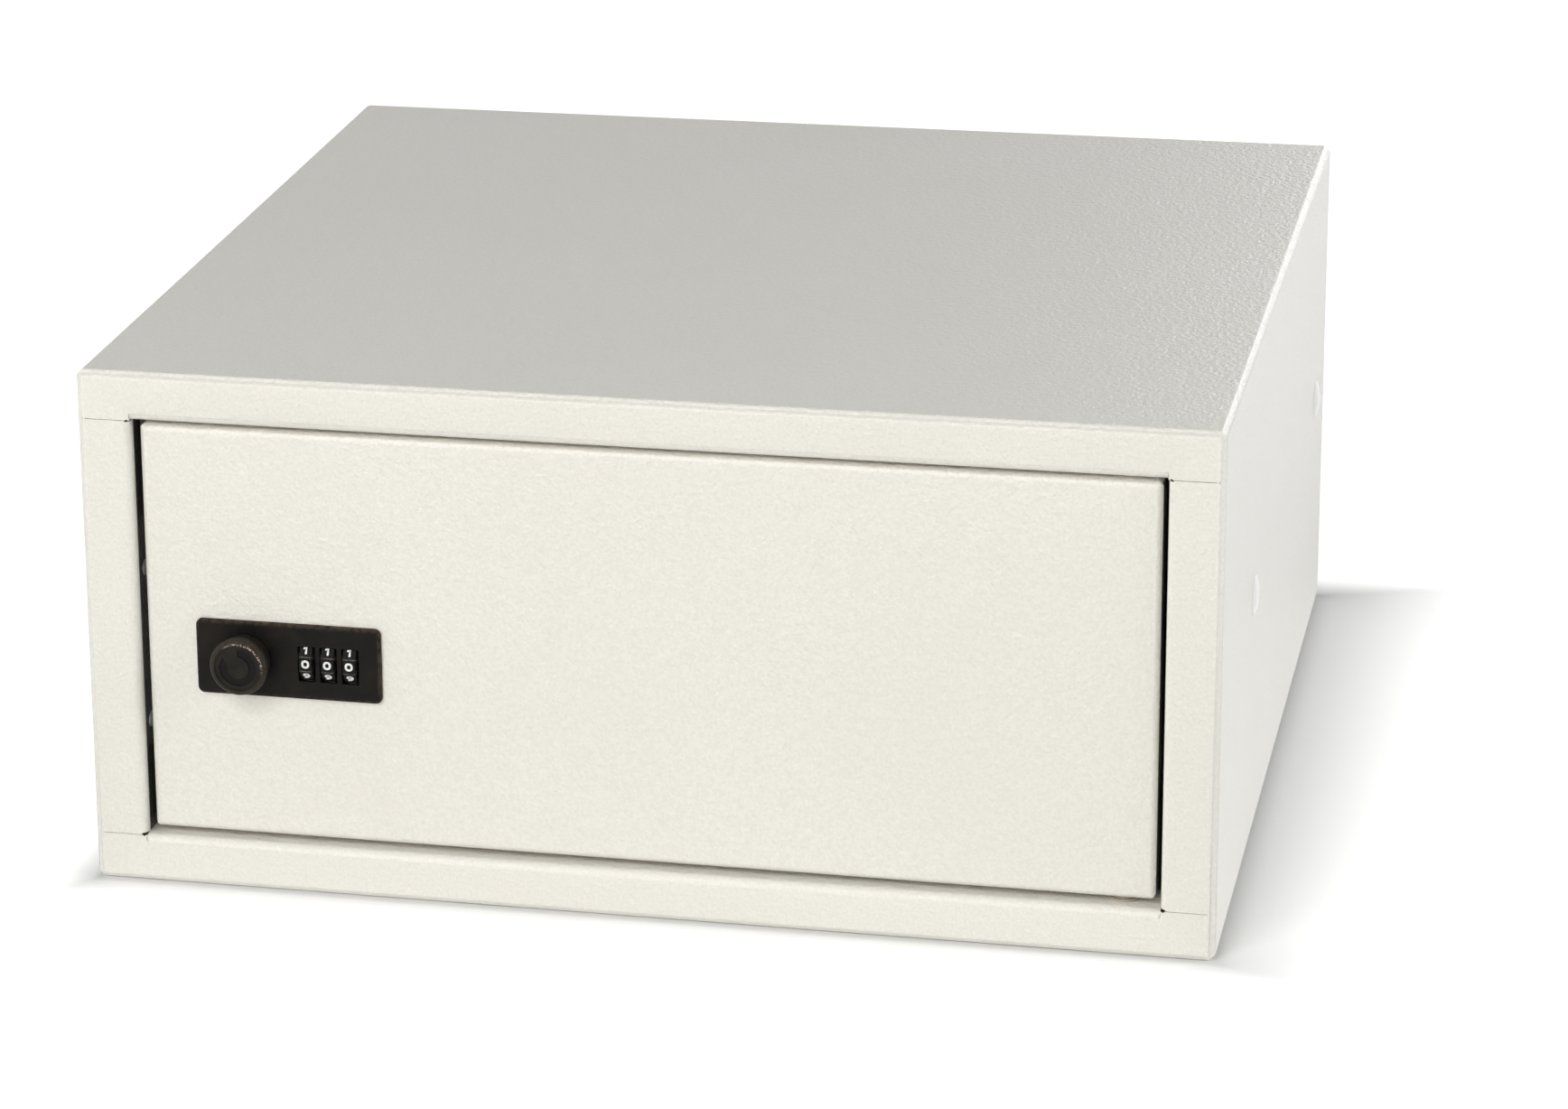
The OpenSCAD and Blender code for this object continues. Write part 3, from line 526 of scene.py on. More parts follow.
def build_plug_tree():
    """Puts one plug on each side at two depths; the plug points along Z before it is turned."""
    tree, inputs = start_tree("side_plug_places", [
        ("Half width", "Float"), ("Height", "Float"), ("Front depth", "Float"),
        ("Rear depth", "Float"), ("Material", "Material"),
    ])
    sides = add_node(tree, "GeometryNodeJoinGeometry")
    for side in (1, -1):
        reach = calculate(tree, "MULTIPLY", inputs.outputs["Half width"], side)
        ends = []
        for depth in ("Front depth", "Rear depth"):
            end = add_node(tree, "ShaderNodeCombineXYZ")
            tree.links.new(reach, end.inputs["X"])
            tree.links.new(inputs.outputs[depth], end.inputs["Y"])
            tree.links.new(inputs.outputs["Height"], end.inputs["Z"])
            ends.append(end.outputs[0])
        row = add_node(tree, "GeometryNodeMeshLine", mode="END_POINTS")
        row.inputs["Count"].default_value = 2
        tree.links.new(ends[0], row.inputs["Start Location"])
        tree.links.new(ends[1], row.inputs["Offset"])
        plugs = add_node(tree, "GeometryNodeInstanceOnPoints")
        plugs.inputs["Rotation"].default_value = (0, side * pi / 2, 0)
        tree.links.new(row.outputs["Mesh"], plugs.inputs["Points"])
        tree.links.new(inputs.outputs["Geometry"], plugs.inputs["Instance"])
        tree.links.new(plugs.outputs["Instances"], sides.inputs["Geometry"])
    end_tree(tree, inputs, sides.outputs["Geometry"])
    return tree


# The plug in millimetres: the bore and end of its shank, the snap ring and the domed head
plug_head = 8.0
plug_dome = 1.6
plug_shank = 5.9
plug_bore = 4.9
plug_length = 7.0
dome_steps = 24
dome_radius = (plug_head ** 2 + plug_dome ** 2) / (2 * plug_dome)
plug_outline = [
    (0, -0.4), (plug_bore, -0.4), (plug_bore, -plug_length),
    (plug_shank - 0.3, -plug_length), (plug_shank, -plug_length + 0.5), (plug_shank, -3.2),
    (plug_shank + 0.35, -2.95), (plug_shank + 0.5, -2.7), (plug_shank + 0.35, -2.45),
    (plug_shank, -2.2), (plug_shank, 0), (plug_head - 0.15, 0), (plug_head - 0.03, 0.05),
]
for step in range(1, dome_steps + 1):
    radius = plug_head * (1 - step / dome_steps)
    height = plug_dome - dome_radius + (dome_radius ** 2 - radius ** 2) ** 0.5
    plug_outline.append((radius, height))
cream_plastic = make_cream_plastic()
plugs = turn_blank("blanking_plugs", plug_outline)
grow(plugs, build_plug_tree(), {
    "Half width": cabinet_half_w,
    "Height": middle_z,
    "Front depth": -cabinet_half_d + 0.115,
    "Rear depth": cabinet_half_d - 0.038,
    "Material": cream_plastic,
})
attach(plugs, "cabinet")
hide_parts("side_plugs")


# Hinge
# The door turns on two zinc plated pins in the rails, which run in greased nylon bushes.
# A spring steel clip holds the upper pin, and a nylon washer carries the door's weight.

def make_zinc_plate():
    """Bright zinc plate on steel, with its faint yellow and blue bloom and a fine grain."""
    finish, tree, shader = start_finish("zinc_plated_steel", (0.66, 0.67, 0.68), 0.34, 1.0)
    bloom = patchy(tree, 90, 3, 0.35, 0.65, (0.62, 0.635, 0.665), (0.70, 0.69, 0.655))
    tree.links.new(bloom, shader.inputs["Base Color"])
    vary_gloss(tree, shader, 400, 3, 0.27, 0.44)
    add_grain(tree, shader, 1500, 2, 0.000008)
    return finish


def make_spring_steel():
    """Hardened spring steel, oiled and a little blue."""
    finish, tree, shader = start_finish("spring_steel", (0.33, 0.34, 0.37), 0.3, 1.0)
    tint = patchy(tree, 200, 2, 0.35, 0.65, (0.28, 0.30, 0.35), (0.38, 0.37, 0.36))
    tree.links.new(tint, shader.inputs["Base Color"])
    vary_gloss(tree, shader, 900, 2, 0.24, 0.4)
    return finish


def make_white_nylon():
    """Moulded nylon, painted a dark brown grey as painted shade, to match the door's shaded gap; soft in
    its gloss.
    """
    # Painted shade: the nylon is dark so the washer matches the shade in the gap.
    finish, tree, shader = start_finish("white_nylon", (0.36, 0.33, 0.27), 0.5)
    tint = patchy(tree, 300, 2, 0.35, 0.65, (0.32, 0.29, 0.235), (0.40, 0.37, 0.31))
    tree.links.new(tint, shader.inputs["Base Color"])
    add_grain(tree, shader, 1800, 2, 0.00001)
    return finish


def repaint(node_name, material):
    """Gives a CAD piece that keeps its shape its real finish."""
    slots = cad[node_name].data.materials
    for place in range(len(slots)):
        slots[place] = material


zinc_plate = make_zinc_plate()
spring_steel = make_spring_steel()
white_nylon = make_white_nylon()
repaint("lower_pivot_pin", zinc_plate)
repaint("upper_pivot_pin", zinc_plate)
repaint("pin_clip", spring_steel)
for nylon_piece in ("pivot_washer", "lower_bush", "upper_bush"):
    repaint(nylon_piece, white_nylon)


# Door stop
# A zinc plated strike angle behind the left stile takes the cam and stops the door.
# Two aluminium rivets hold it, and two rubber buffers keep the door from rattling.

def make_aluminium():
    """Plain aluminium rivet, dulled by the setting tool."""
    finish, tree, shader = start_finish("aluminium_rivet", (0.72, 0.72, 0.72), 0.4, 1.0)
    vary_gloss(tree, shader, 700, 3, 0.3, 0.5)
    add_grain(tree, shader, 1600, 2, 0.00001)
    return finish


def make_black_rubber():
    """Black rubber with a dusty bloom."""
    finish, tree, shader = start_finish("black_rubber", (0.009, 0.009, 0.009), 0.75, 0.0, 0.15)
    bloom = patchy(tree, 500, 3, 0.4, 0.7, (0.007, 0.007, 0.007), (0.012, 0.012, 0.012))
    tree.links.new(bloom, shader.inputs["Base Color"])
    add_grain(tree, shader, 2000, 2, 0.00002)
    return finish


row_sizes = [
    ("First place", "Vector"), ("Step", "Vector"), ("Count", "Int"),
    ("Turn", "Vector"), ("Material", "Material"),
]


def lay_row(tree, inputs, piece):
    """Repeats a piece in a row, from the first place and one step at a time, and closes the tree."""
    row = add_node(tree, "GeometryNodeMeshLine")
    tree.links.new(inputs.outputs["Count"], row.inputs["Count"])
    tree.links.new(inputs.outputs["First place"], row.inputs["Start Location"])
    tree.links.new(inputs.outputs["Step"], row.inputs["Offset"])
    turn = add_node(tree, "FunctionNodeEulerToRotation")
    tree.links.new(inputs.outputs["Turn"], turn.inputs[0])
    copies = add_node(tree, "GeometryNodeInstanceOnPoints")
    tree.links.new(row.outputs["Mesh"], copies.inputs["Points"])
    tree.links.new(piece, copies.inputs["Instance"])
    tree.links.new(turn.outputs[0], copies.inputs["Rotation"])
    end_tree(tree, inputs, copies.outputs["Instances"])


row_tree, row_inputs = start_tree("fastener_row", row_sizes)
lay_row(row_tree, row_inputs, row_inputs.outputs["Geometry"])
aluminium = make_aluminium()
black_rubber = make_black_rubber()
stamped_edge = 0.0002
finish_copy("strike_angle", "strike_bracket", zinc_plate, "cabinet", stamped_edge)

# The rivet in millimetres: the dent and dome of its head, its shank and its closed end
strike_rise = 0.091
rivet_rise = 0.030
rivet_x = -0.19
rivet_y = -0.1885
rivet_outline = [
    (0, 0.75), (0.7, 0.8), (0.9, 0.9), (1.6, 0.9), (1.95, 0.8), (2.6, 0.4), (2.95, 0.1), (3.0, 0),
    (1.6, 0), (1.6, -4), (2.4, -4.0), (2.5, -4.15), (2.35, -4.6), (1.8, -4.88), (1.0, -4.88), (0, -4.7),
]
rivets = turn_blank("bracket_rivets", rivet_outline, 40)
grow(rivets, row_tree, {
    "First place": (rivet_x, rivet_y, strike_rise - rivet_rise),
    "Step": (0, 0, 2 * rivet_rise),
    "Count": 2,
    "Turn": (0, pi / 2, 0),
    "Material": aluminium,
})
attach(rivets, "cabinet")
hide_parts("strike_rivets")

# The buffer in millimetres: its cushion, its neck in the sheet and its barb behind it
buffer_rise = 0.037
buffer_x = -0.1805
buffer_y = -0.1765
buffer_outline = [
    (0, 2.5), (3.1, 2.5), (3.6, 2.35), (3.9, 1.95), (4.0, 1.5), (4.0, 0.1), (3.9, 0), (1.9, 0),
    (1.9, -2), (2.8, -2), (2.75, -2.2), (1.95, -3.5), (1.7, -3.6), (0, -3.6),
]
buffers = turn_blank("rubber_buffers", buffer_outline, 40)
grow(buffers, row_tree, {
    "First place": (buffer_x, buffer_y, strike_rise - buffer_rise),
    "Step": (0, 0, 2 * buffer_rise),
    "Count": 2,
    "Turn": (pi / 2, 0, 0),
    "Material": black_rubber,
})
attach(buffers, "cabinet")
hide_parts("door_buffers")


# Door
# The door is a folded pan of 2 mm sheet with a hat section welded behind its face.
# Both are painted with the cabinet, and the pan's front corners are closed and ground round.

door_edge = 0.0004
stiffener_edge = 0.0003
slit_from_x = 0.1845
slit_from_z = 0.0764
slit_from_y = -0.1835


def near_fold_slit(place):
    """Picks the pan's four rear corners, where two folds all but meet and can't be rounded."""
    at_corner = abs(place.x) > slit_from_x and abs(place.z - middle_z) > slit_from_z
    return at_corner and place.y > slit_from_y


finish_copy("door_panel", "door_pan", cream_powder_coat, "door",
            door_edge, left_sharp=near_fold_slit)
finish_copy("door_stiffener", "door_hat_section", cream_powder_coat, "door",
            stiffener_edge)


# Lock housing
# The lock's plate and case are one zinc casting in thin black paint.
# The paint is rubbed to a brown grey along the plate's edges, strongest at the top and right,
# where it is partly a painted highlight.

lock_x = -0.133
lock_z = 0.091
plate_half_w = 0.03525
plate_half_h = 0.0145
cast_edge = 0.00022


def centred(tree, middle):
    """The place on the piece measured from this point."""
    shift = add_node(tree, "ShaderNodeMapping")
    shift.inputs["Location"].default_value = [-value for value in middle]
    tree.links.new(surface_place(tree), shift.inputs["Vector"])
    parts = add_node(tree, "ShaderNodeSeparateXYZ")
    tree.links.new(shift.outputs[0], parts.inputs[0])
    return parts.outputs


def make_black_lock_paint():
    """Thin black paint on the casting, cloudy with brown, worn at the plate's edges, with a painted
    highlight at top and right.
    """
    finish, tree, shader = start_finish("black_lock_paint", (0.008, 0.007, 0.006), 0.5, 0.0, 0.12)
    x, y, z = centred(tree, (lock_x, 0, lock_z))
    past_side = calculate(tree, "SUBTRACT", calculate(tree, "ABSOLUTE", x), plate_half_w)
    past_end = calculate(tree, "SUBTRACT", calculate(tree, "ABSOLUTE", z), plate_half_h)
    edge_near = fit_range(tree, calculate(tree, "MAXIMUM", past_side, past_end), -0.0016, -0.0001)
    # Painted highlight: the brown along the edges is strongest towards the top and right, where the
    # light falls.
    towards_top_right = calculate(tree, "ADD", x, calculate(tree, "MULTIPLY", z, 2))
    highlight_side = fit_range(tree, towards_top_right, -0.05, 0.04, 0.35, 1)
    rub = fit_range(tree, add_noise(tree, 420, 4), 0.32, 0.62)
    wear_and_highlight = calculate(tree, "MULTIPLY", calculate(tree, "MULTIPLY", edge_near, highlight_side), rub)
    ground = patchy(tree, 75, 3, 0.42, 0.66, (0.0028, 0.0024, 0.0020), (0.0080, 0.0058, 0.0040))
    painted = mix_colours(tree, wear_and_highlight, ground, (0.065, 0.047, 0.031))
    tree.links.new(painted, shader.inputs["Base Color"])
    vary_gloss(tree, shader, 600, 3, 0.42, 0.62)
    add_grain(tree, shader, 1400, 3, 0.00003)
    return finish


black_lock_paint = make_black_lock_paint()
finish_copy("lock_housing", "lock_case_and_plate", black_lock_paint, "door",
            cast_edge)


# Rear cover and clamp plate
# A zinc plated sheet cover closes the lock's case, and a clamp plate pulls the lock to the door.
# Slotted steel screws hold both.

def build_screw_tree():
    """Cuts a driver slot across the head of a turned blank and repeats the screw in a row."""
    tree, inputs = start_tree("slotted_screw_row", [
        ("Head radius", "Float"), ("Head height", "Float"),
        ("Slot width", "Float"), ("Slot depth", "Float"),
    ] + row_sizes)
    length = calculate(tree, "MULTIPLY", inputs.outputs["Head radius"], 3)
    double_depth = calculate(tree, "MULTIPLY", inputs.outputs["Slot depth"], 2)
    size = add_node(tree, "ShaderNodeCombineXYZ")
    tree.links.new(length, size.inputs["X"])
    tree.links.new(inputs.outputs["Slot width"], size.inputs["Y"])
    tree.links.new(double_depth, size.inputs["Z"])
    cutter = add_node(tree, "GeometryNodeMeshCube")
    tree.links.new(size.outputs[0], cutter.inputs["Size"])
    top = add_node(tree, "ShaderNodeCombineXYZ")
    tree.links.new(inputs.outputs["Head height"], top.inputs["Z"])
    lifted = add_node(tree, "GeometryNodeTransform")
    tree.links.new(cutter.outputs["Mesh"], lifted.inputs["Geometry"])
    tree.links.new(top.outputs[0], lifted.inputs["Translation"])
    slotted = add_node(tree, "GeometryNodeMeshBoolean", operation="DIFFERENCE", solver="EXACT")
    tree.links.new(inputs.outputs["Geometry"], slotted.inputs["Mesh 1"])
    tree.links.new(lifted.outputs["Geometry"], slotted.inputs["Mesh 2"])
    lay_row(tree, inputs, slotted.outputs["Mesh"])
    return tree


def turn_screw(name, shank, length, head, rise):
    """Blank of a cheese head screw in millimetres: its seat is at 0 and its shank points down.

    The thread is shown as rings, one for each turn of its pitch."""
    outline = [(0, -length), (shank - 0.4, -length), (shank, -length + 0.4)]
    pitch = 0.5
    root = shank - 0.18
    for turn in range(int((length - 1.4) / pitch)):
        foot = -length + 0.6 + turn * pitch
        outline += [(root, foot), (root, foot + 0.12), (shank, foot + 0.25), (shank, foot + 0.33)]
    outline += [(shank, -0.5), (shank, 0), (head - 0.1, 0), (head, 0.1), (head, rise - 0.3)]
    outline += [(head - 0.09, rise - 0.09), (head - 0.3, rise), (0, rise)]
    return turn_blank(name, outline, 40)


driver_slot = 0.0007


def fit_screws(blank, node_name, body, head, rise, first, step, count):
    """Slots the blank and sets the screws in their row, with their heads to the rear."""
    grow(blank, screw_tree, {
        "Head radius": head / 1000,
        "Head height": rise / 1000,
        "Slot width": driver_slot,
        "Slot depth": driver_slot,
        "First place": first,
        "Step": step,
        "Count": count,
        "Turn": (-pi / 2, 0, 0),
        "Material": zinc_plate,
    })
    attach(blank, body)
    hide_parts(node_name)


screw_tree = build_screw_tree()
repaint("lock_rear_cover", zinc_plate)
repaint("clamp_plate", zinc_plate)
cover_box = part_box("lock_rear_cover")
cover_screw_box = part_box("cover_screws")
cover_screw_x = (cover_screw_box[0].x + cover_screw_box[1].x) / 2
cover_screw_rise = 0.0075
cover_head = 2.2
cover_head_h = 1.4
cover_screws = turn_screw("rear_cover_screws", 1.25, 9, cover_head, cover_head_h)
fit_screws(cover_screws, "cover_screws", "door", cover_head, cover_head_h,
           (cover_screw_x, cover_box[1].y, lock_z - cover_screw_rise), (0, 0, 2 * cover_screw_rise), 2)
clamp_screw_off = 0.0315
clamp_seat_y = -0.1925
clamp_head = 2.3
clamp_head_h = 1.8
clamp_screws = turn_screw("clamp_plate_screws", 1.5, 4.4, clamp_head, clamp_head_h)
fit_screws(clamp_screws, "clamp_screws", "door", clamp_head, clamp_head_h,
           (lock_x - clamp_screw_off, clamp_seat_y, lock_z), (2 * clamp_screw_off, 0, 0), 2)


# Knob, spindle and cam
# A cast zinc knob with a dished face and a sunken turning arrow, in black paint worn at the rim.
# It turns a cast spindle, and a steel cam on the spindle's rear end swings behind the strike.

knob_x = -0.14945
knob_edge = 0.00016
dish_bottom = -0.2080
behind_arrow = -0.2070
dish_edge_radius = 0.0088
bright_ring_middle = 0.00905


def make_black_knob_paint():
    """Black paint over brown primer: speckled on the rim, worn and with a painted highlight at the
    dish's upper edge.
    """
    finish, tree, shader = start_finish("black_knob_paint", (0.010, 0.009, 0.008), 0.5, 0.0, 0.12)
    x, y, z = centred(tree, (knob_x, 0, lock_z))
    x_squared = calculate(tree, "MULTIPLY", x, x)
    z_squared = calculate(tree, "MULTIPLY", z, z)
    radius = calculate(tree, "SQRT", calculate(tree, "ADD", x_squared, z_squared))
    on_rim = fit_range(tree, radius, 0.0086, 0.0095)
    front = fit_range(tree, y, -0.2035, -0.2060)
    speckle = fit_range(tree, add_noise(tree, 1900, 3), 0.36, 0.62)
    rim_share = calculate(tree, "MULTIPLY", calculate(tree, "MULTIPLY", on_rim, front), speckle)
    ground = patchy(tree, 180, 3, 0.38, 0.66, (0.0085, 0.0074, 0.0060), (0.0160, 0.0126, 0.0096))
    painted = mix_colours(tree, rim_share, ground, (0.042, 0.033, 0.025))
    # Painted shade: the sunken arrow is painted nearly black.
    below_dish = between(tree, y, (dish_bottom, behind_arrow))
    painted_arrow_shade = calculate(tree, "MULTIPLY", below_dish, fit_range(tree, radius, 0.0076, 0.0075))
    painted = mix_colours(tree, painted_arrow_shade, painted, (0.0032, 0.0026, 0.0022))
    # Wear and painted highlight: bare metal colour on the dish's upper right edge, where the light
    # catches it.
    off_edge = calculate(tree, "ABSOLUTE", calculate(tree, "SUBTRACT", radius, bright_ring_middle))
    near_edge = fit_range(tree, off_edge, 0.0006, 0.0002)
    lean_right = calculate(tree, "MULTIPLY", x, 0.55)
    lean = calculate(tree, "ADD", lean_right, calculate(tree, "MULTIPLY", z, 0.85))
    upper = fit_range(tree, lean, 0.0025, 0.0068)
    chip = fit_range(tree, add_noise(tree, 2300, 2), 0.51, 0.64)
    edge_highlight = calculate(tree, "MULTIPLY", calculate(tree, "MULTIPLY", near_edge, upper), chip)
    bare_metal_and_highlight = calculate(tree, "MULTIPLY", edge_highlight, front)
    rubbed_and_highlit = mix_colours(tree, bare_metal_and_highlight, painted, (0.56, 0.46, 0.34))
    tree.links.new(rubbed_and_highlit, shader.inputs["Base Color"])
    tree.links.new(bare_metal_and_highlight, shader.inputs["Metallic"])
    vary_gloss(tree, shader, 700, 3, 0.38, 0.58)
    add_grain(tree, shader, 1500, 3, 0.00004)
    return finish


def make_cast_zinc():
    """Grey die cast zinc with a faint flow pattern."""
    finish, tree, shader = start_finish("cast_zinc", (0.42, 0.42, 0.43), 0.5, 1.0)
    flow = patchy(tree, 240, 4, 0.35, 0.65, (0.38, 0.38, 0.40), (0.47, 0.47, 0.46))
    tree.links.new(flow, shader.inputs["Base Color"])
    vary_gloss(tree, shader, 800, 2, 0.4, 0.6)
    add_grain(tree, shader, 1300, 2, 0.00002)
    return finish


black_knob_paint = make_black_knob_paint()
cast_zinc = make_cast_zinc()


def out_from_axis(place):
    """The way from the knob's axis out to this place."""
    return Vector((place.x - knob_x, 0, place.z - lock_z))


def widen_dish(place):
    """Moves the edge of the knob's dish out to the ring painted as bare metal and highlight."""
    out = out_from_axis(place)
    if place.y < dish_bottom and 0.0082 < out.length < 0.0087:
        return place + out * (dish_edge_radius / out.length - 1)
    return place


def in_dish(place):
    """Picks the dish, its edge and the sunken arrow."""
    return place.y < behind_arrow and out_from_axis(place).length < dish_edge_radius + 0.0001


finish_copy("knob", "turn_knob", black_knob_paint, "knob",
            knob_edge, left_sharp=in_dish, left_cut=in_dish, reshape=widen_dish)
repaint("spindle", cast_zinc)
finish_copy("cam", "cam_arm", zinc_plate, "knob", stamped_edge)
repaint("cam_washer", spring_steel)
cam_screw_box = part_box("cam_screw")
cam_head = 3.6
cam_head_h = 2.4
cam_seat_y = cam_screw_box[1].y - cam_head_h / 1000
cam_screw = turn_screw("cam_fixing_screw", 2.0, 9, cam_head, cam_head_h)
fit_screws(cam_screw, "cam_screw", "knob", cam_head, cam_head_h,
           (knob_x, cam_seat_y, lock_z), (0, 0, 0), 1)


# Locking slide, spring and sleeves
# The comb, the detent leaf and the three code sleeves are brass, stamped and turned.
# They sit in the case, and so does the plated axle of the dials.

def make_brass():
    """Plain brass, a little tarnished, with a fine grain."""
    finish, tree, shader = start_finish("brass", (0.72, 0.53, 0.26), 0.33, 1.0)
    tarnish = patchy(tree, 260, 4, 0.4, 0.7, (0.75, 0.56, 0.28), (0.58, 0.41, 0.20))
    tree.links.new(tarnish, shader.inputs["Base Color"])
    vary_gloss(tree, shader, 900, 2, 0.26, 0.42)
    add_grain(tree, shader, 1700, 2, 0.000008)
    return finish


brass = make_brass()
repaint("locking_slide", brass)
repaint("detent_spring", brass)
for order in (1, 2, 3):
    repaint("code_sleeve_" + str(order), brass)
repaint("dial_axle", zinc_plate)


# Dials
# Three moulded black wheels with ten flat faces each; the ridges between the faces are lighter grey,
# from wear and from a painted highlight.
# The numerals 0 to 9 are filled with white paint, and all three dials stand at 0.

dial_places = (-0.12605, -0.11775, -0.10945)
dial_axis_y = -0.1912
dial_flat = 0.0086
dial_edge = 0.00018
face_angle = radians(36)


def make_black_dial_plastic():
    """Black plastic, lighter grey along the ridges between the ten faces, from wear and a painted
    highlight.
    """
    finish, tree, shader = start_finish("black_dial_plastic", (0.007, 0.007, 0.007), 0.55, 0.0, 0.1)
    x, y, z = centred(tree, (0, dial_axis_y, lock_z))
    angle = calculate(tree, "ARCTAN2", z, calculate(tree, "MULTIPLY", y, -1))
    turns = calculate(tree, "DIVIDE", angle, face_angle)
    face_middle = calculate(tree, "ROUND", turns)
    off_face = calculate(tree, "ABSOLUTE", calculate(tree, "SUBTRACT", turns, face_middle))
    # Wear and painted highlight: the ridges between the faces are painted lighter grey.
    ridge = fit_range(tree, off_face, 0.44, 0.49)
    rub = fit_range(tree, add_noise(tree, 1500, 3), 0.3, 0.6)
    wear_and_highlight = calculate(tree, "MULTIPLY", ridge, rub)
    rubbed_and_highlit = mix_colours(tree, wear_and_highlight, (0.006, 0.006, 0.006), (0.16, 0.14, 0.125))
    tree.links.new(rubbed_and_highlit, shader.inputs["Base Color"])
    vary_gloss(tree, shader, 900, 2, 0.48, 0.62)
    add_grain(tree, shader, 1800, 2, 0.00001)
    return finish


def make_white_filling():
    """White filling paint in the numerals, a little chalky."""
    finish, tree, shader = start_finish("white_filling", (0.86, 0.86, 0.84), 0.45)
    tint = patchy(tree, 1200, 2, 0.35, 0.65, (0.82, 0.82, 0.79), (0.90, 0.90, 0.88))
    tree.links.new(tint, shader.inputs["Base Color"])
    return finish


def smooth_through(points, closed):
    """Points on a soft curve through these points, six for each span."""
    count = len(points)
    parts = 6
    ring = [points[-1]] + points + points[:2] if closed else [points[0]] + points + [points[-1]]
    run = []
    for span in range(count if closed else count - 1):
        before, start, end, after = ring[span:span + 4]
        slope = end - before
        bend = 2 * before - 5 * start + 4 * end - after
        twist = 3 * start - before - 3 * end + after
        for part in range(parts):
            share = part / parts
            run.append(0.5 * (2 * start + slope * share + bend * share ** 2 + twist * share ** 3))
    if not closed:
        run.append(points[-1])
    return run


# Middle lines of the numerals in millimetres before scaling: round, straight and closed strokes
numeral_scale = 0.88
stroke_width = 0.00085
stroke_flatness = 0.08
loop_upper = [(0, 1.35), (0.8, 1.05), (0.8, 0.45), (0, 0.12), (-0.8, 0.45), (-0.8, 1.05)]
loop_lower = [(0, 0.12), (0.95, -0.2), (0.95, -1.02), (0, -1.35), (-0.95, -1.02), (-0.95, -0.2)]
numeral_strokes = {
    0: [("closed", [(0, 1.35), (0.95, 1.02), (1.27, 0), (0.95, -1.02), (0, -1.35), (-0.95, -1.02),
                    (-1.27, 0), (-0.95, 1.02)])],
    1: [("straight", [(-0.75, 0.8), (0.15, 1.35), (0.15, -1.35)])],
    2: [("round", [(-1.05, 0.75), (-0.7, 1.25), (0.15, 1.35), (0.95, 1.0), (0.95, 0.3), (0.2, -0.45),
                   (-1.1, -1.35)]),
        ("straight", [(-1.1, -1.35), (1.15, -1.35)])],
    3: [("round", [(-1.0, 1.1), (-0.2, 1.35), (0.75, 1.1), (0.8, 0.5), (-0.1, 0.12)]),
        ("round", [(-0.1, 0.12), (0.9, -0.15), (1.0, -0.85), (0.3, -1.32), (-0.5, -1.3),
                   (-1.1, -0.95)])],
    4: [("straight", [(0.5, -1.35), (0.5, 1.35), (-1.15, -0.55), (1.25, -0.55)])],
    5: [("straight", [(0.95, 1.35), (-0.75, 1.35), (-0.9, 0.15)]),
        ("round", [(-0.9, 0.15), (0, 0.35), (0.9, 0.1), (1.1, -0.5), (0.7, -1.15), (-0.1, -1.35),
                   (-1.1, -1.0)])],
    6: [("round", [(0.75, 1.3), (-0.1, 1.1), (-0.9, 0.35), (-1.05, -0.4)]),
        ("closed", [(0, 0.25), (0.85, -0.05), (1.08, -0.6), (0.75, -1.15), (0, -1.35), (-0.75, -1.15),
                    (-1.08, -0.55), (-0.8, 0.0)])],
    7: [("straight", [(-1.1, 1.35), (1.1, 1.35), (-0.25, -1.35)])],
    8: [("closed", loop_upper), ("closed", loop_lower)],
    9: [("round", [(-0.75, -1.3), (0.1, -1.1), (0.9, -0.35), (1.05, 0.4)]),
        ("closed", [(0, -0.25), (-0.85, 0.05), (-1.08, 0.6), (-0.75, 1.15), (0, 1.35), (0.75, 1.15),
                    (1.08, 0.55), (0.8, 0.0)])],
}


def build_stroke_tree():
    """Lays a round bead of paint along each line and presses it almost flat."""
    tree, inputs = start_tree("numeral_stroke", [
        ("Stroke width", "Float"), ("Flatness", "Float"), ("Material", "Material"),
    ])
    half_width = calculate(tree, "MULTIPLY", inputs.outputs["Stroke width"], 0.5)
    line = add_node(tree, "GeometryNodeMeshToCurve")
    tree.links.new(inputs.outputs["Geometry"], line.inputs["Mesh"])
    section = add_node(tree, "GeometryNodeCurvePrimitiveCircle")
    section.inputs["Resolution"].default_value = 12
    tree.links.new(half_width, section.inputs["Radius"])
    bead = add_node(tree, "GeometryNodeCurveToMesh")
    bead.inputs["Fill Caps"].default_value = True
    tree.links.new(line.outputs["Curve"], bead.inputs["Curve"])
    tree.links.new(section.outputs["Curve"], bead.inputs["Profile Curve"])
    knot = add_node(tree, "GeometryNodeMeshUVSphere")
    knot.inputs["Segments"].default_value = 12
    knot.inputs["Rings"].default_value = 6
    tree.links.new(half_width, knot.inputs["Radius"])
    ends = add_node(tree, "GeometryNodeInstanceOnPoints")
    tree.links.new(inputs.outputs["Geometry"], ends.inputs["Points"])
    tree.links.new(knot.outputs["Mesh"], ends.inputs["Instance"])
    both = add_node(tree, "GeometryNodeJoinGeometry")
    tree.links.new(bead.outputs["Mesh"], both.inputs["Geometry"])
    tree.links.new(ends.outputs["Instances"], both.inputs["Geometry"])
    real = add_node(tree, "GeometryNodeRealizeInstances")
    tree.links.new(both.outputs["Geometry"], real.inputs["Geometry"])
    squash = add_node(tree, "ShaderNodeCombineXYZ")
    squash.inputs["X"].default_value = 1
    squash.inputs["Y"].default_value = 1
    tree.links.new(inputs.outputs["Flatness"], squash.inputs["Z"])
    pressed = add_node(tree, "GeometryNodeTransform")
    tree.links.new(real.outputs["Geometry"], pressed.inputs["Geometry"])
    tree.links.new(squash.outputs[0], pressed.inputs["Scale"])
    end_tree(tree, inputs, pressed.outputs["Geometry"])
    return tree


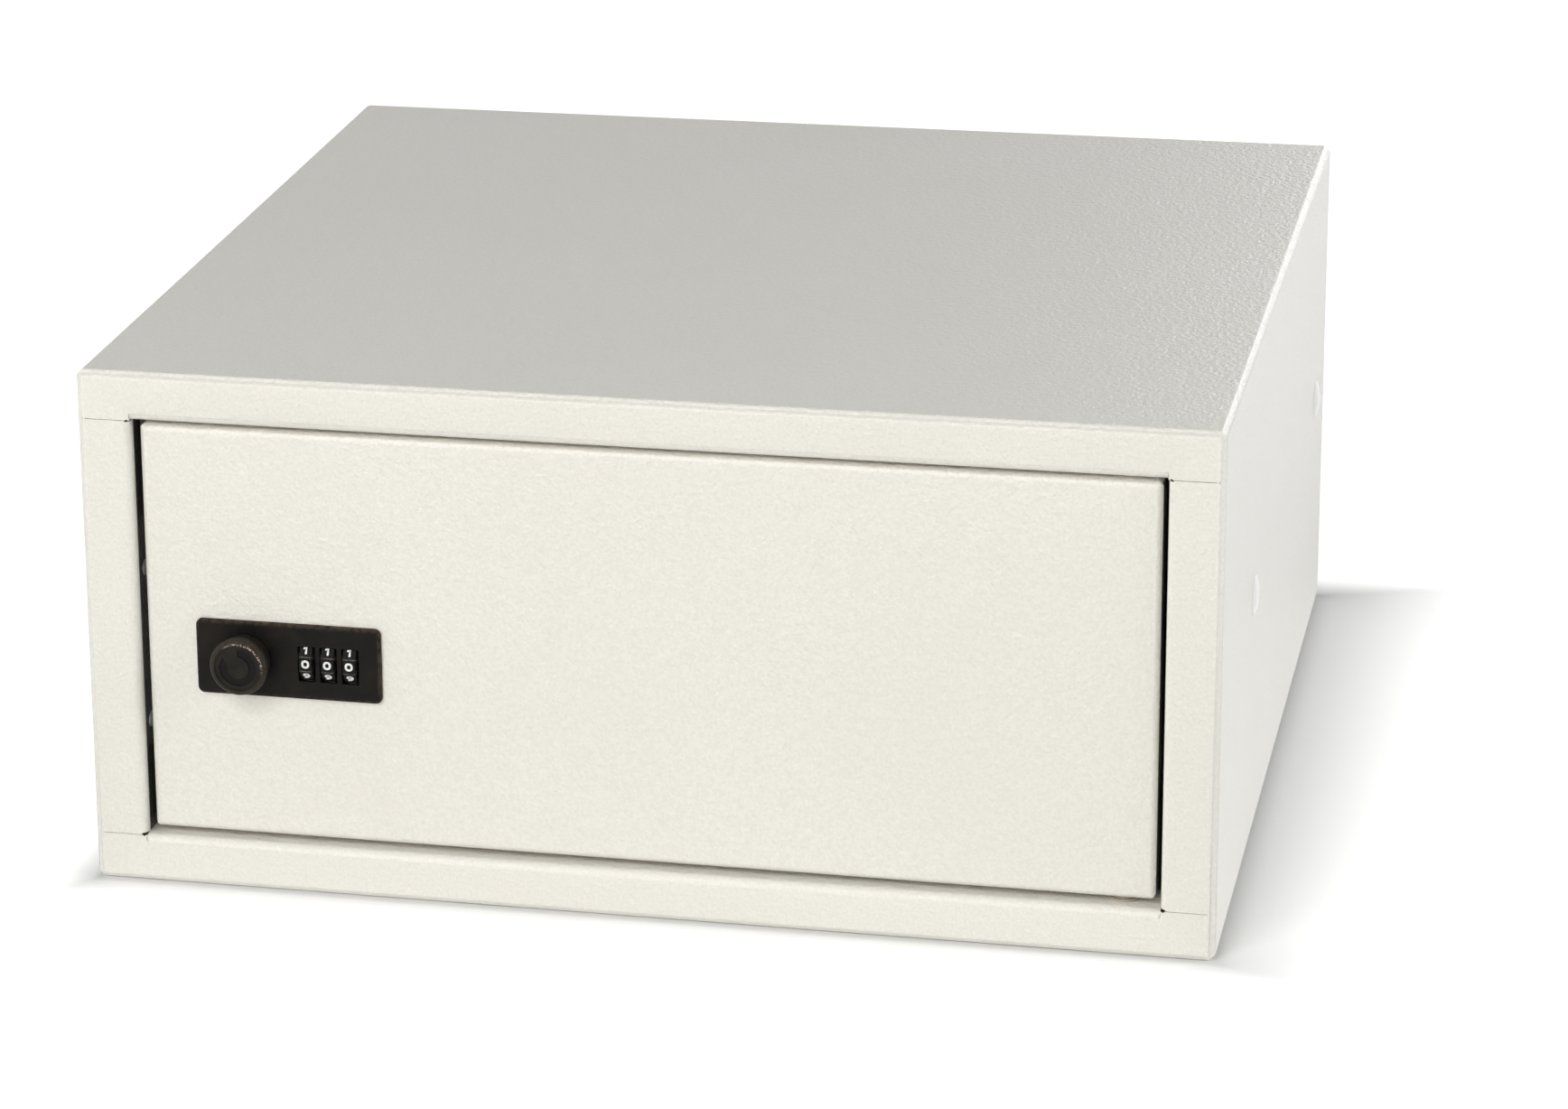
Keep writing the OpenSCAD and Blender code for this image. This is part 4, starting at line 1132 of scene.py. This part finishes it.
def lay_numeral(number):
    """The mesh of one numeral, flat about the origin."""
    shape = bmesh.new()
    for kind, points in numeral_strokes[number]:
        run = [numeral_scale * Vector(point) for point in points]
        if kind != "straight":
            run = smooth_through(run, kind == "closed")
        corners = [shape.verts.new((point.x / 1000, point.y / 1000, 0)) for point in run]
        for pair in zip(corners, corners[1:]):
            shape.edges.new(pair)
        if kind == "closed":
            shape.edges.new((corners[-1], corners[0]))
    mesh = bpy.data.meshes.new("numeral")
    shape.to_mesh(mesh)
    shape.free()
    piece = bpy.data.objects.new("numeral", mesh)
    bpy.context.scene.collection.objects.link(piece)
    grow(piece, stroke_tree, {
        "Stroke width": stroke_width,
        "Flatness": stroke_flatness,
        "Material": white_filling,
    })
    flat = piece.data
    bpy.data.objects.remove(piece)
    return flat


black_dial_plastic = make_black_dial_plastic()
white_filling = make_white_filling()
stroke_tree = build_stroke_tree()
numerals = [lay_numeral(number) for number in range(10)]
for order, dial_x in enumerate(dial_places, 1):
    dial_name = "dial_" + str(order)
    finish_copy(dial_name, dial_name + "_wheel", black_dial_plastic, dial_name,
                dial_edge)
    ring = bmesh.new()
    for number, flat in enumerate(numerals):
        turn = face_angle * number
        outward = Vector((0, -cos(turn), sin(turn)))
        upward = Vector((0, sin(turn), cos(turn)))
        axes = Matrix((Vector((1, 0, 0)), upward, outward)).transposed().to_4x4()
        place = Matrix.Translation(Vector((dial_x, dial_axis_y, lock_z)) + dial_flat * outward) @ axes
        known = set(ring.verts)
        ring.from_mesh(flat)
        fresh = [corner for corner in ring.verts if corner not in known]
        bmesh.ops.transform(ring, matrix=place, verts=fresh)
    ring_mesh = bpy.data.meshes.new(dial_name + "_numerals")
    ring.to_mesh(ring_mesh)
    ring.free()
    ring_mesh.shade_smooth()
    ring_mesh.materials.clear()
    ring_mesh.materials.append(white_filling)
    ring_piece = bpy.data.objects.new(dial_name + "_numerals", ring_mesh)
    bpy.context.scene.collection.objects.link(ring_piece)
    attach(ring_piece, dial_name)


# Code change screw
# A small brass screw with a driver slot, reached from inside the open door.
# A quarter turn lets the code be set anew.

code_screw_edge = 0.00015
finish_copy("code_change_screw", "code_setting_screw", brass, "code_change_screw",
            code_screw_edge)
